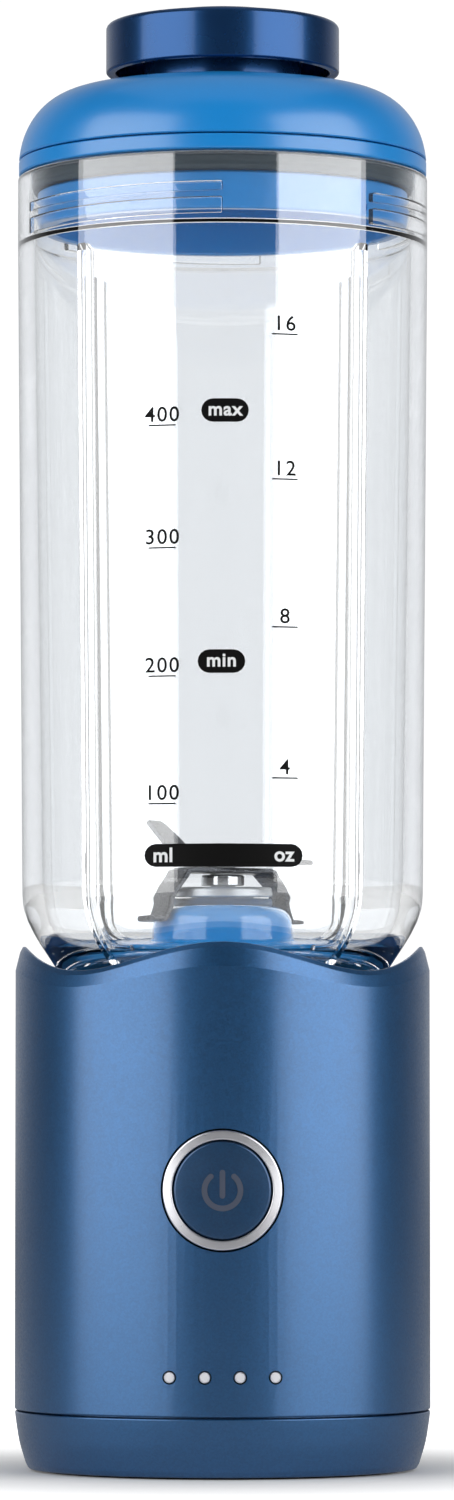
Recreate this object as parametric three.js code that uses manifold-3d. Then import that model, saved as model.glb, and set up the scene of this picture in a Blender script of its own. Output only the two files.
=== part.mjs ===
// Cordless personal blender: motor base, clear cup with its blade unit, screw lid and screw cap.
// Millimetres. +Z is up, the front of the object faces -Y, and the origin is the middle of the foot's
// underside.
import * as THREE from 'three';
import { mergeVertices } from 'three/addons/utils/BufferGeometryUtils.js';
import Module from 'manifold-3d';

const wasm = await Module();
wasm.setup();

// ---------- Driving dimensions ----------

const ROUND = 32; // facets round the outer shells; a multiple of eight keeps the rim's wave even
const MIDDLE = 24; // facets round a middle-sized piece
const SMALL = 12; // facets round a small one
const PIN = 8; // facets round a screw or a pin
const CURVE_STEPS = 3; // straight runs in a curved outline
const THREAD_STEPS = 6; // and in a thread ridge
const DOME_STEPS = 6; // and up the outside of the dome
const GAP = 0.3; // between pieces that touch
const RUNNING_GAP = 0.5; // beside a piece that turns or slides

// Drive: motor between two battery cells, which together set the width of the base.
const MOTOR_RADIUS = 17.9;
const MOTOR_LENGTH = 50;
const MOTOR_SKIN = 1.4;
const MOTOR_FACE = 2.4; // closed end of the can
const MOTOR_SHAFT_RADIUS = 2;
const BEARING_RADIUS = 5;
const BEARING_WIDTH = 3;
const MAGNET_THICKNESS = 2.6;
const MAGNET_SPAN = 126; // degrees
const MAGNET_STEPS = 8; // facets along a magnet
const AIR_GAP = 0.6;
const ARMATURE_LENGTH = 26;
const ARMATURE_SLOTS = 5;
const SLOT_WIDTH = 4;
const SLOT_DEPTH = 6;
const END_TURN_HEIGHT = 4;
const COMMUTATOR_RADIUS = 5;
const COMMUTATOR_LENGTH = 5;
const BRUSH_WIDTH = 3;
const MOTOR_TO_CELL = 1.1;
const CELL_RADIUS = 9.2;
const CELL_LENGTH = 65.2;
const CELL_TO_WALL = 1.9;
const CELL_HEADROOM = 4.5; // above the cells, below the cup socket
const MOTOR_SCREW_CIRCLE = 11.5;

// Base shell
const BASE_WALL = 2.2;
const COVER_HEIGHT = 11.5;
const COVER_TAPER = 2.6; // the underside's radius is this much less
const COVER_BULGE_UP = 4.79; // height that steers the side's curve
const COVER_FLOOR = 3;
const COVER_LIP_WALL = 1;
const COVER_LIP_HEIGHT = 3.1;
const FOOT_PROUD = 0.4; // the rubber stands below the cover
const FOOT_HEIGHT = 1.4;
const FOOT_WIDTH = 7;
const SCREW_INSET = 8.5; // cover screws, and the foot over them, in from the housing's outside
const SCREW_SHANK_RADIUS = 1.4;
const SCREW_HEAD_RADIUS = 2.6;
const SCREW_HEAD_HEIGHT = 2;
const SCREW_LENGTH = 16;
const COVER_SCREWS = 4;
const BOSS_WALL = 1.3;
const TRAY_LIFT = 4.6; // the battery tray above the cover's floor
const TRAY_FLOOR = 2;
const CRADLE_WALL = 1;
const CRADLE_HEIGHT = 28;
const CRADLE_OPENING = 14; // gap between a cradle's two walls
const MOUNT_THICKNESS = 3;
const MOUNT_WIDTH = 33;
const MOUNT_ROOM = 3.2; // above the motor mount, for its screw heads

// Rim of the base: a wave with its crests at the front, back and sides
const WAVE_CRESTS = 4;
const WAVE_HEIGHT = 5.4;
const RIM_ABOVE_DECK = 2.6; // at the troughs
const RIM_BEVEL_HEIGHT = 4;
const RIM_BEVEL_DEPTH = 1.15;
const RIM_CURVE_DEPTH = 0.345; // where the bevel turns steeper, in from the wall
const RIM_CURVE_HEIGHT = 1.6; // and down from the rim
const WAVE_REACH = 9.6; // how far down the wall the wave fades out

// Controls on the front
const BUTTON_BELOW_MOUNT = 17.7; // the button's middle below the motor mount
const BUTTON_RADIUS = 9.5;
const BUTTON_SKIN = 1.5;
const BUTTON_TRAVEL = 0.9;
const BUTTON_RECESS = 0.15;
const BUTTON_FLANGE = 1.4;
const RING_WIDTH = 1.9;
const RING_DEPTH = 3.3;
const SWITCH_SIZE = 6;
const SWITCH_HEIGHT = 3.4;
const LIGHT_DOTS = 4;
const DOT_UP = 7.7;
const DOT_RADIUS = 1.1;
const DOT_SPACING = 6.87;
const BOARD_WIDTH = 34;
const BOARD_THICKNESS = 1.6;
const BOARD_BEHIND_FRONT = 10.7; // from the housing's outside to the board's face
const BOARD_LOW_UP = 1.8;
const BOARD_BELOW_MOUNT = 3.8;

// Charge port at the back
const PORT_UP = 11.8;
const PORT_WIDTH = 8.94;
const PORT_HEIGHT = 3.26;
const PORT_DEPTH = 7.35;
const PORT_SHELL = 0.3;
const PORT_CORNER = 1.2;
const FLAP_WIDTH = 15;
const FLAP_HEIGHT = 10.4;
const FLAP_THICKNESS = 1.6;
const FLAP_RECESS = 0.2;
const FLAP_PLUG = 1;
const CHARGE_BOARD_WIDTH = 26;
const CHARGE_BOARD_HEIGHT = 24;

// Cup socket, drive couplings and bayonet
const WELL_WALL = 2;
const SOCKET_FLOOR = 2;
const DECK_THICKNESS = 3;
const DECK_SKIRT = 8;
const COUPLING_RADIUS = 9.5;
const COUPLING_BORE_WALL = 2.4;
const COUPLING_DISC = 2.5;
const COUPLING_LIFT = 1.8; // drive coupling above the well's floor
const DOG_HEIGHT = 3;
const DOG_INNER_RADIUS = 5;
const DOG_SPAN = 22; // degrees
const DOGS = 6;
const SEAL_RING_WALL = 2.3;
const SEAL_RING_HEIGHT = 2.7;
const BAYONET_LUGS = 4;
const BAYONET_LEAD = 30; // lift in one turn
const LUG_REACH = 1.3;
const LUG_HEIGHT = 1.6;
const LUG_SPAN = 24; // degrees
const LUG_UP = 0.9; // above the foot ring's lower edge
const LIP_THICKNESS = 1.4;
const LIP_SPAN = 26; // degrees
const FOOT_RING_DEPTH = 6;
const FOOT_RING_WALL = 2.5;
const CHANNEL_FLOOR_GAP = 2;
const CUP_SEAT = 0.5; // cup above the deck

// Cup
const CUP_HEIGHT = 162.4; // from its floor's underside to its rim
const CUP_TOP_RADIUS = 41.28;
const CUP_BELLY_INSET = 1.3; // in from the housing's outside
const CUP_BELLY_UP = 19.2;
const CUP_CONE_FOOT_INSET = 10.23;
const CUP_CONE_SLOPE = 0.655; // radius gained per height
const CUP_CONE_HEIGHT = 7.7;
const CUP_FLOOR = 4.7;
const CUP_WALL_LOW = 4.1;
const CUP_WALL_HIGH = 3.3;
const CUP_INNER_CORNER = 12;
const RIB_FOOT_UP = 8; // where a rib's back leaves the wall, above the floor
const COLLAR_HEIGHT = 13.6;
const COLLAR_WALL = 2.38;
const RIBS = 4;
const RIB_WIDTH = 2.25;
const RIB_DEPTH = 2.5;
const RIB_BELOW_COLLAR = 2.8;
const RIB_INNER_END = 25.5;

// Blade unit
const HUB_RADIUS = 14.2;
const HUB_TOP_RADIUS = 10.8;
const HUB_HEIGHT = 8.7; // above the flange
const HUB_ROUND_HEIGHT = 5.8; // the shoulder's curve
const FLANGE_RADIUS = 23.5;
const FLANGE_THICKNESS = 1.9;
const STEM_RADIUS = 15.7;
const NUT_WALL = 4.5;
const NUT_HEIGHT = 5.5;
const NUT_TO_WELL = 1.5;
const GASKET_RADIUS = 19.5;
const GASKET_WIDTH = 3;
const GASKET_HEIGHT = 0.9;
const BLADE_SHAFT_RADIUS = 2.5;
const BUSH_WALL = 2.2;
const BUSH_LENGTH = 5.7;
const SHAFT_SEAL_RADIUS = 6.3;
const SHAFT_SEAL_HEIGHT = 2.6;
const SEAL_CAP_RADIUS = 10;
const SEAL_CAP_HEIGHT = 2.6;
const SPACER_RADIUS = 4.35;
const SPACER_HEIGHT = 2.9;
const BLADE_THICKNESS = 1.1;
const BLADE_WIDTH = 8.4;
const BLADE_TIP_WIDTH = 3.6;
const BLADE_PAST_HUB = 4.7; // the tips, out past the hub's side
const LOWER_BLADE_INSET = 1.4; // an arm starts down this far inside the hub's top edge
const LOWER_BLADE_DROP = 8.7;
const LOWER_BLADE_CLEAR = 0.6; // the short flat tip starts this far past the hub's side
const UPPER_BLADE_BEND = 7.5;
const UPPER_BLADE_RISE = 9;
const UPPER_BLADE_TIP = 16.2;
const LOWER_BLADE_TURN = 30; // degrees, at rest
const UPPER_BLADE_TURN = -32;
const BLADE_NUT_RADIUS = 4.2;
const BLADE_NUT_HEIGHT = 3.2;
const NUT_SIDES = 6;
const TRIGGER_MAGNET_RADIUS = 1.5;
const TRIGGER_MAGNET_HEIGHT = 2.7;
const TRIGGER_TURN = 45; // degrees, where the magnet and its sensor stand

// Lid
const LID_LEAD = 12.6;
const LID_STARTS = 3;
const LID_RIDGE_REACH = 1.1;
const LID_RIDGE_HEIGHT = 1.3;
const LID_RIDGE_SPAN = 72; // degrees
const LID_THREAD_TURN = -126; // degrees, the first ridge's middle
const LID_RIDGE_DROP = 8.6; // lowest cup ridge below the rim at its start
const SKIRT_WALL = 2.4;
const SKIRT_DEPTH = 11.1; // below the cup's rim
const SEAL_HEIGHT = 3.5;
const SEAL_GROOVE = 1;
const BAND_HEIGHT = 3;
const BAND_INSET = 0.16;
const BAND_LIP = 2.4;
const DOME_HEIGHT = 14.83;
const DOME_ROUND = 12.6;
const DOME_SINK = 1.1; // the curve's centre below the dome's lower edge
const DOME_WALL = 2.2;
const SPOUT_BORE = 11.4;
const SPOUT_WALL = 2.1;
const SPOUT_HEIGHT = 9.5;
const STOP_LUG_HEIGHT = 2.4;
const STOP_LUG_WALL = 2;
const STOP_LUG_SPAN = 8; // degrees

// Screw cap
const CAP_LEAD = 9;
const CAP_STARTS = 2;
const CAP_RIDGE_REACH = 0.9;
const CAP_RIDGE_HEIGHT = 1.1;
const CAP_RIDGE_SPAN = 100; // degrees
const CAP_SKIRT_WALL = 1.1;
const CAP_SKIRT_CLEAR = 0.4; // skirt's lower edge above the dome
const CAP_SEAL_HEIGHT = 1.4;
const CAP_PLATE = 2.5;
const CAP_RADIUS = 23.55;
const CAP_WALL = 1.95;
const CAP_SKIRT_SHOW = 4; // gap left between the dome and the cap's outer wall
const CAP_EDGE = 1.2;
const CROWN_INSET = 8;
const CROWN_HEIGHT = 1.9;
const CROWN_ROUND = 3;

// ---------- Sizes and places that follow ----------

const TURN = 2 * Math.PI;

const BASE_RADIUS = MOTOR_RADIUS + MOTOR_TO_CELL + 2 * CELL_RADIUS + CELL_TO_WALL + BASE_WALL;
const HOUSING_BORE = BASE_RADIUS - BASE_WALL;
const CELL_CIRCLE = HOUSING_BORE - CELL_TO_WALL - CELL_RADIUS;
const COVER_BORE = HOUSING_BORE - GAP - COVER_LIP_WALL;
const SCREW_CIRCLE = BASE_RADIUS - SCREW_INSET;

const COVER_TOP = FOOT_PROUD + COVER_HEIGHT;
const HOUSING_BOTTOM = COVER_TOP + GAP;
const COVER_INSIDE = FOOT_PROUD + COVER_FLOOR;
const TRAY_BOTTOM = COVER_INSIDE + TRAY_LIFT;
const TRAY_TOP = TRAY_BOTTOM + TRAY_FLOOR;
const CELL_BOTTOM = TRAY_TOP + GAP;
const CELL_TOP = CELL_BOTTOM + CELL_LENGTH;
const WELL_BOTTOM = CELL_TOP + CELL_HEADROOM;
const WELL_TOP = WELL_BOTTOM + SOCKET_FLOOR;
const MOUNT_TOP = WELL_BOTTOM - MOUNT_ROOM;
const MOUNT_BOTTOM = MOUNT_TOP - MOUNT_THICKNESS;
const MOTOR_TOP = MOUNT_BOTTOM - GAP;
const MOTOR_BOTTOM = MOTOR_TOP - MOTOR_LENGTH;
const END_CAP_TOP = MOTOR_BOTTOM - GAP;
const END_CAP_BOTTOM = END_CAP_TOP - BEARING_WIDTH - 2 * GAP;
const COVER_BOSS_TOP = COVER_TOP + COVER_LIP_HEIGHT;
const HOUSING_BOSS_BOTTOM = COVER_BOSS_TOP + GAP;
const SCREW_HEAD_BOTTOM = COVER_TOP - SCREW_HEAD_HEIGHT - GAP;

const COUPLING_BOTTOM = WELL_TOP + COUPLING_LIFT;
const DRIVE_TOP = COUPLING_BOTTOM + COUPLING_DISC;
const DRIVEN_BOTTOM = DRIVE_TOP + DOG_HEIGHT + GAP;
const DRIVEN_TOP = DRIVEN_BOTTOM + COUPLING_DISC;
const STEM_RECESS_TOP = DRIVEN_TOP + 3 * RUNNING_GAP;
const STEM_BOTTOM = DRIVEN_BOTTOM + 3 * RUNNING_GAP;
const CUP_BOTTOM = STEM_BOTTOM + NUT_HEIGHT + GAP;
const DECK_TOP = CUP_BOTTOM - CUP_SEAT;
const RIM_LOW = DECK_TOP + RIM_ABOVE_DECK;
const RIM_MIDDLE = RIM_LOW + WAVE_HEIGHT / 2;

const NUT_RADIUS = STEM_RADIUS + GAP + NUT_WALL;
const WELL_RADIUS = NUT_RADIUS + NUT_TO_WELL;
const FOOT_RING_BORE = WELL_RADIUS + WELL_WALL + RUNNING_GAP;
const FOOT_RING_RADIUS = FOOT_RING_BORE + FOOT_RING_WALL;
const FOOT_RING_BOTTOM = CUP_BOTTOM - FOOT_RING_DEPTH;
const CHANNEL_RADIUS = FOOT_RING_RADIUS + LUG_REACH + RUNNING_GAP;
const CHANNEL_FLOOR = FOOT_RING_BOTTOM - CHANNEL_FLOOR_GAP;
const SOCKET_RADIUS = HOUSING_BORE - GAP;
const SEAL_RING_BORE = MOTOR_SHAFT_RADIUS + GAP;
const SEAL_RING_RADIUS = SEAL_RING_BORE + SEAL_RING_WALL;

const CUP_FLOOR_TOP = CUP_BOTTOM + CUP_FLOOR;
const CUP_TOP = CUP_BOTTOM + CUP_HEIGHT;
const COLLAR_BOTTOM = CUP_TOP - COLLAR_HEIGHT;
const COLLAR_BORE = CUP_TOP_RADIUS - COLLAR_WALL;
const CUP_BELLY_RADIUS = BASE_RADIUS - CUP_BELLY_INSET;
const CUP_BORE_HIGH = CUP_TOP_RADIUS - CUP_WALL_HIGH;
const CUP_BORE_LOW = CUP_BELLY_RADIUS - CUP_WALL_LOW;
const FLOOR_FLAT = FLANGE_RADIUS + 1;

const FLANGE_BOTTOM = CUP_FLOOR_TOP + GAP;
const FLANGE_TOP = FLANGE_BOTTOM + FLANGE_THICKNESS;
const HUB_TOP = FLANGE_TOP + HUB_HEIGHT;
const BUSH_BORE = BLADE_SHAFT_RADIUS + GAP;
const BUSH_RADIUS = BUSH_BORE + BUSH_WALL;
const SHAFT_SEAL_BOTTOM = HUB_TOP - SHAFT_SEAL_HEIGHT;
const SEAL_CAP_BOTTOM = HUB_TOP + GAP;
const SPACER_BOTTOM = SEAL_CAP_BOTTOM + SEAL_CAP_HEIGHT + GAP;
const LOWER_BLADE_BOTTOM = SPACER_BOTTOM + SPACER_HEIGHT + GAP;
const BLADE_REACH = HUB_RADIUS + BLADE_PAST_HUB;
const LOWER_BLADE_BEND = HUB_TOP_RADIUS - LOWER_BLADE_INSET;
const LOWER_BLADE_FOOT = HUB_RADIUS + LOWER_BLADE_CLEAR;
const UPPER_BLADE_BOTTOM = LOWER_BLADE_BOTTOM + BLADE_THICKNESS + GAP;
const BLADE_NUT_BOTTOM = UPPER_BLADE_BOTTOM + BLADE_THICKNESS + GAP;

const SKIRT_RADIUS = COLLAR_BORE - LID_RIDGE_REACH - RUNNING_GAP;
const SKIRT_BORE = SKIRT_RADIUS - SKIRT_WALL;
const SKIRT_BOTTOM = CUP_TOP - SKIRT_DEPTH;
const BAND_BOTTOM = CUP_TOP + GAP;
const BAND_TOP = BAND_BOTTOM + BAND_HEIGHT;
const BAND_RADIUS = CUP_TOP_RADIUS - BAND_INSET;
const DOME_BOTTOM = BAND_TOP + GAP;
const DOME_TOP = DOME_BOTTOM - DOME_SINK + DOME_HEIGHT;
const LID_RIDGE_PITCH = LID_LEAD / LID_STARTS;

const SPOUT_RADIUS = SPOUT_BORE + SPOUT_WALL;
const SPOUT_TOP = DOME_TOP + SPOUT_HEIGHT;
const CAP_SKIRT_BORE = SPOUT_RADIUS + CAP_RIDGE_REACH + GAP;
const CAP_SKIRT_RADIUS = CAP_SKIRT_BORE + CAP_SKIRT_WALL;
const CAP_SKIRT_BOTTOM = DOME_TOP + CAP_SKIRT_CLEAR;
const CAP_SEAL_BOTTOM = SPOUT_TOP + GAP;
const CAP_PLATE_BOTTOM = CAP_SEAL_BOTTOM + CAP_SEAL_HEIGHT + GAP;
const CAP_TOP = CAP_PLATE_BOTTOM + CAP_PLATE;
const CAP_BOTTOM = DOME_TOP + CAP_SKIRT_SHOW;
const CAP_RIDGE_PITCH = CAP_LEAD / CAP_STARTS;

const BUTTON_Z = MOUNT_BOTTOM - BUTTON_BELOW_MOUNT;
const RING_BORE = BUTTON_RADIUS + GAP;
const RING_RADIUS = RING_BORE + RING_WIDTH;
const RING_BACK = -(BASE_RADIUS - RING_DEPTH);
const BOARD_FACE = -(BASE_RADIUS - BOARD_BEHIND_FRONT);
const DOT_Z = HOUSING_BOTTOM + DOT_UP;
const PORT_Z = HOUSING_BOTTOM + PORT_UP;
const FLAP_RADIUS = BASE_RADIUS - FLAP_RECESS;
const FLAP_BACK = FLAP_RADIUS - FLAP_THICKNESS;
const FLAP_BOTTOM = PORT_Z - FLAP_HEIGHT / 2;
const FLAP_PIN_Z = FLAP_BOTTOM + FLAP_HEIGHT - FLAP_THICKNESS / 2;
const FLAP_PIN_Y = FLAP_BACK + FLAP_THICKNESS / 2;
const PORT_FACE = FLAP_BACK - GAP;
const PORT_MOUTH_Y = PORT_FACE - FLAP_PLUG;
const PORT_BACK_Y = PORT_MOUTH_Y - PORT_DEPTH;

// ---------- Finishes ----------

const finish = (color, roughness, metalness = 0) =>
  new THREE.MeshStandardMaterial({ color, roughness, metalness });

const bluePaint = () => finish(0x3f6390, 0.32, 0.6);
const lidBlue = () => finish(0x0d7ccd, 0.35);
const hubBlue = () => finish(0x4a90d6, 0.25);
const capNavy = () => finish(0x14305a, 0.3, 0.4);
const silver = () => finish(0xbfc4c9, 0.25, 1);
const steel = () => finish(0xb4b8bc, 0.3, 1);
const clearPlastic = () => finish(0xe8eef2, 0.05);
const blackPlastic = () => finish(0x1b1d20, 0.5);
const greyPlastic = () => finish(0x5a5f66, 0.55);
const whitePlastic = () => finish(0xe4e6e8, 0.4);
const greyRubber = () => finish(0x3a4a52, 0.7);
const blackRubber = () => finish(0x141516, 0.85);
const copper = () => finish(0xb46a3c, 0.35, 1);
const brass = () => finish(0xc7a251, 0.35, 1);
const magnetGrey = () => finish(0x3c3f43, 0.6, 0.4);
const boardGreen = () => finish(0x1d5b3a, 0.5);
const cellWrap = () => finish(0x2b6f8f, 0.4);

// ---------- Shape helpers ----------

const radians = (degrees) => (degrees * TURN) / 360;

// A geometry with only its positions, with shared corners merged and collapsed triangles dropped.
function weld(geometry) {
  const bare = geometry.clone();
  bare.deleteAttribute('normal');
  bare.deleteAttribute('uv');
  const merged = mergeVertices(bare);
  const { array } = merged.index;
  const kept = [];
  for (let i = 0; i < array.length; i += 3) {
    const [a, b, c] = array.slice(i, i + 3);
    if (a !== b && b !== c && c !== a) kept.push(a, b, c);
  }
  merged.setIndex(kept);
  return merged;
}

function toSolid(geometry) {
  const welded = weld(geometry);
  const vertProperties = new Float32Array(welded.attributes.position.array);
  const triVerts = new Uint32Array(welded.index.array);
  return new wasm.Manifold(new wasm.Mesh({ numProp: 3, vertProperties, triVerts }));
}

function toGeometry(solid) {
  const mesh = solid.getMesh();
  const geometry = new THREE.BufferGeometry();
  geometry.setAttribute('position', new THREE.BufferAttribute(mesh.vertProperties, 3));
  geometry.setIndex(new THREE.BufferAttribute(mesh.triVerts, 1));
  return geometry;
}

const combine = (how, first, others) =>
  toGeometry(others.reduce((solid, other) => solid[how](toSolid(other)), toSolid(first)));
const join = (first, ...others) => combine('add', first, others);
const cut = (first, ...others) => combine('subtract', first, others);
const common = (first, ...others) => combine('intersect', first, others);

// A turned piece from [radius, height] corners, outside going up. Off the axis, the outline closes on itself.
function turned(corners, segments = ROUND) {
  const outline = corners.map(([radius, z]) => new THREE.Vector2(radius, z));
  if (corners[0][0] > 0) outline.push(outline[0].clone());
  return new THREE.LatheGeometry(outline, segments).rotateX(Math.PI / 2);
}

const disc = (radius, bottom, top, segments = SMALL) =>
  turned([[0, bottom], [radius, bottom], [radius, top], [0, top]], segments);

const ring = (bore, radius, bottom, top, segments = SMALL) =>
  turned([[bore, bottom], [radius, bottom], [radius, top], [bore, top]], segments);

const rod = (radius, bottom, top, x, y, segments = PIN) =>
  disc(radius, bottom, top, segments).translate(x, y, 0);

// A round bar along Y, centred on x and z.
const crossBar = (radius, fromY, toY, x, z, segments = SMALL) =>
  disc(radius, -toY, -fromY, segments).rotateX(Math.PI / 2).translate(x, 0, z);

function block(fromX, toX, fromY, toY, fromZ, toZ) {
  const geometry = new THREE.BoxGeometry(toX - fromX, toY - fromY, toZ - fromZ);
  return geometry.translate((fromX + toX) / 2, (fromY + toY) / 2, (fromZ + toZ) / 2);
}

// A bar bent round the axis from one angle to another, climbing by lead in each full turn.
function bentBar(inner, outer, bottom, top, fromDegrees, toDegrees, lead = 0, steps = 4) {
  const geometry = new THREE.BoxGeometry(1, 1, 1, 1, steps, 1);
  const { position } = geometry.attributes;
  const sweep = radians(toDegrees - fromDegrees);
  for (let i = 0; i < position.count; i += 1) {
    const radius = inner + (outer - inner) * (position.getX(i) + 0.5);
    const angle = radians(fromDegrees) + sweep * (position.getY(i) + 0.5);
    const climb = (lead * sweep * position.getY(i)) / TURN;
    const z = bottom + (top - bottom) * (position.getZ(i) + 0.5) + climb;
    position.setXYZ(i, radius * Math.cos(angle), radius * Math.sin(angle), z);
  }
  return geometry;
}

// [radius, height] corners along a curve from one point to another, pulled towards a third.
const curvePoints = (from, pull, to) =>
  new THREE.QuadraticBezierCurve(from, pull, to).getPoints(CURVE_STEPS).map((point) => [point.x, point.y]);

// The same piece at equal turns round the axis.
function around(count, startDegrees, make) {
  return Array.from({ length: count }, (_, i) => make().rotateZ(radians(startDegrees + (360 * i) / count)));
}

// A thread: for each start, rows of ridges, centred at the given angle and climbing with the lead.
function ridges(inner, outer, bottom, thread, centreDegrees, rows = 1) {
  const bars = [];
  for (let start = 0; start < thread.starts; start += 1) {
    const centre = centreDegrees + (360 * start) / thread.starts;
    for (let row = 0; row < rows; row += 1) {
      const low = bottom + (row * thread.lead) / thread.starts;
      const half = thread.span / 2;
      bars.push(bentBar(
        inner, outer, low, low + thread.height, centre - half, centre + half, thread.lead, THREAD_STEPS));
    }
  }
  return bars;
}

const lidThread = { starts: LID_STARTS, lead: LID_LEAD, height: LID_RIDGE_HEIGHT, span: LID_RIDGE_SPAN };
const capThread = { starts: CAP_STARTS, lead: CAP_LEAD, height: CAP_RIDGE_HEIGHT, span: CAP_RIDGE_SPAN };

// ---------- Base ----------

const rimWave = (angle) => (WAVE_HEIGHT / 2) * Math.cos(WAVE_CRESTS * angle);

const screwSpots = () =>
  Array.from({ length: COVER_SCREWS }, (_, i) => {
    const angle = radians(45 + (360 * i) / COVER_SCREWS);
    return [SCREW_CIRCLE * Math.cos(angle), SCREW_CIRCLE * Math.sin(angle)];
  });

// The shell's upper wall is stretched up and down so that its bevelled edge follows the wave.
function wavyShell() {
  const waveStart = RIM_MIDDLE - WAVE_REACH;
  const shell = turned([
    [HOUSING_BORE, HOUSING_BOTTOM],
    [BASE_RADIUS, HOUSING_BOTTOM],
    [BASE_RADIUS, waveStart],
    [BASE_RADIUS, RIM_MIDDLE - RIM_BEVEL_HEIGHT],
    [BASE_RADIUS - RIM_CURVE_DEPTH, RIM_MIDDLE - RIM_CURVE_HEIGHT],
    [BASE_RADIUS - RIM_BEVEL_DEPTH, RIM_MIDDLE],
    [HOUSING_BORE, RIM_MIDDLE],
    [HOUSING_BORE, waveStart],
  ]);
  const { position } = shell.attributes;
  for (let i = 0; i < position.count; i += 1) {
    const share = Math.max(0, (position.getZ(i) - waveStart) / WAVE_REACH);
    position.setZ(i, position.getZ(i) + share * rimWave(Math.atan2(position.getY(i), position.getX(i))));
  }
  return shell;
}

function housing() {
  const bossRadius = SCREW_SHANK_RADIUS + GAP + BOSS_WALL;
  const bossTop = SCREW_HEAD_BOTTOM + SCREW_HEAD_HEIGHT + SCREW_LENGTH + BOSS_WALL;
  const bosses = screwSpots().map(([x, y]) => rod(bossRadius, HOUSING_BOSS_BOTTOM, bossTop, x, y, SMALL));
  const webs = around(COVER_SCREWS, 45, () =>
    block(SCREW_CIRCLE, HOUSING_BORE + BASE_WALL / 2, -BOSS_WALL, BOSS_WALL, HOUSING_BOSS_BOTTOM, bossTop));
  const holes = screwSpots().map(([x, y]) =>
    rod(SCREW_SHANK_RADIUS + GAP, COVER_TOP, bossTop - BOSS_WALL, x, y));
  const halfBoss = FLAP_WIDTH / 2 + BASE_WALL;
  const bossLid = FLAP_PIN_Z + 3 * GAP + BASE_WALL;
  const portBoss = common(
    block(-halfBoss, halfBoss, PORT_MOUTH_Y + GAP, BASE_RADIUS, FLAP_BOTTOM - BASE_WALL, bossLid),
    disc(HOUSING_BORE + BASE_WALL / 2, HOUSING_BOTTOM, RIM_LOW, ROUND),
  );
  const halfFlap = FLAP_WIDTH / 2 + GAP;
  const flapTop = FLAP_PIN_Z + FLAP_THICKNESS / 2 + 2 * GAP;
  const flapRecess = block(-halfFlap, halfFlap, PORT_FACE, BASE_RADIUS + 1, FLAP_BOTTOM - GAP, flapTop);
  const dots = dotSpots().map((x) => crossBar(DOT_RADIUS + GAP, -BASE_RADIUS - 1, 0, x, DOT_Z, PIN));
  return cut(
    join(wavyShell(), ...bosses, ...webs, portBoss),
    crossBar(RING_RADIUS + GAP, -BASE_RADIUS - 1, 0, 0, BUTTON_Z, MIDDLE),
    flapRecess,
    portOutline(PORT_WIDTH / 2 + GAP, PORT_HEIGHT / 2 + GAP, PORT_CORNER + GAP, 0, BASE_RADIUS),
    ...dots,
    ...holes,
  );
}

// Outer curve of the cover: a gentle barrel from the narrower underside up to the seam.
function coverOutline() {
  const foot = new THREE.Vector2(BASE_RADIUS - COVER_TAPER, FOOT_PROUD);
  const bulge = new THREE.Vector2(BASE_RADIUS - COVER_TAPER / 3, FOOT_PROUD + COVER_BULGE_UP);
  const seam = new THREE.Vector2(BASE_RADIUS, COVER_TOP);
  return curvePoints(foot, bulge, seam);
}

function bottomCover() {
  const grooveInner = SCREW_CIRCLE - FOOT_WIDTH / 2 - GAP;
  const grooveOuter = SCREW_CIRCLE + FOOT_WIDTH / 2 + GAP;
  const lipRadius = HOUSING_BORE - GAP;
  const shell = turned([
    [0, FOOT_PROUD],
    ...coverOutline(),
    [lipRadius, COVER_TOP],
    [lipRadius, COVER_BOSS_TOP],
    [COVER_BORE, COVER_BOSS_TOP],
    [COVER_BORE, COVER_INSIDE],
    [0, COVER_INSIDE],
  ]);
  const bossRadius = SCREW_HEAD_RADIUS + GAP + BOSS_WALL;
  const bosses = screwSpots().map(([x, y]) =>
    rod(bossRadius, FOOT_PROUD + FOOT_HEIGHT, COVER_BOSS_TOP, x, y, SMALL));
  const trimmed = bosses.map((boss) => common(boss, disc(lipRadius, 0, COVER_BOSS_TOP, ROUND)));
  const groove = ring(grooveInner, grooveOuter, 0, FOOT_HEIGHT + GAP, ROUND);
  const pockets = screwSpots().map(([x, y]) => rod(SCREW_HEAD_RADIUS + GAP, 0, COVER_TOP, x, y, SMALL));
  const holes = screwSpots().map(([x, y]) => rod(SCREW_SHANK_RADIUS + GAP, 0, COVER_BOSS_TOP + 1, x, y));
  return cut(join(shell, ...trimmed), groove, ...pockets, ...holes);
}

const footRing = () =>
  ring(SCREW_CIRCLE - FOOT_WIDTH / 2, SCREW_CIRCLE + FOOT_WIDTH / 2, 0, FOOT_HEIGHT, ROUND);

function coverScrew(i) {
  const [x, y] = screwSpots()[i];
  const headTop = SCREW_HEAD_BOTTOM + SCREW_HEAD_HEIGHT;
  return turned([
    [0, SCREW_HEAD_BOTTOM],
    [SCREW_HEAD_RADIUS, SCREW_HEAD_BOTTOM],
    [SCREW_HEAD_RADIUS, headTop],
    [SCREW_SHANK_RADIUS, headTop],
    [SCREW_SHANK_RADIUS, headTop + SCREW_LENGTH],
    [0, headTop + SCREW_LENGTH],
  ], PIN).translate(x, y, 0);
}

const cellSpots = [-CELL_CIRCLE, CELL_CIRCLE];

const batteryCell = (x) => rod(CELL_RADIUS, CELL_BOTTOM, CELL_TOP, x, 0, SMALL);

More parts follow.
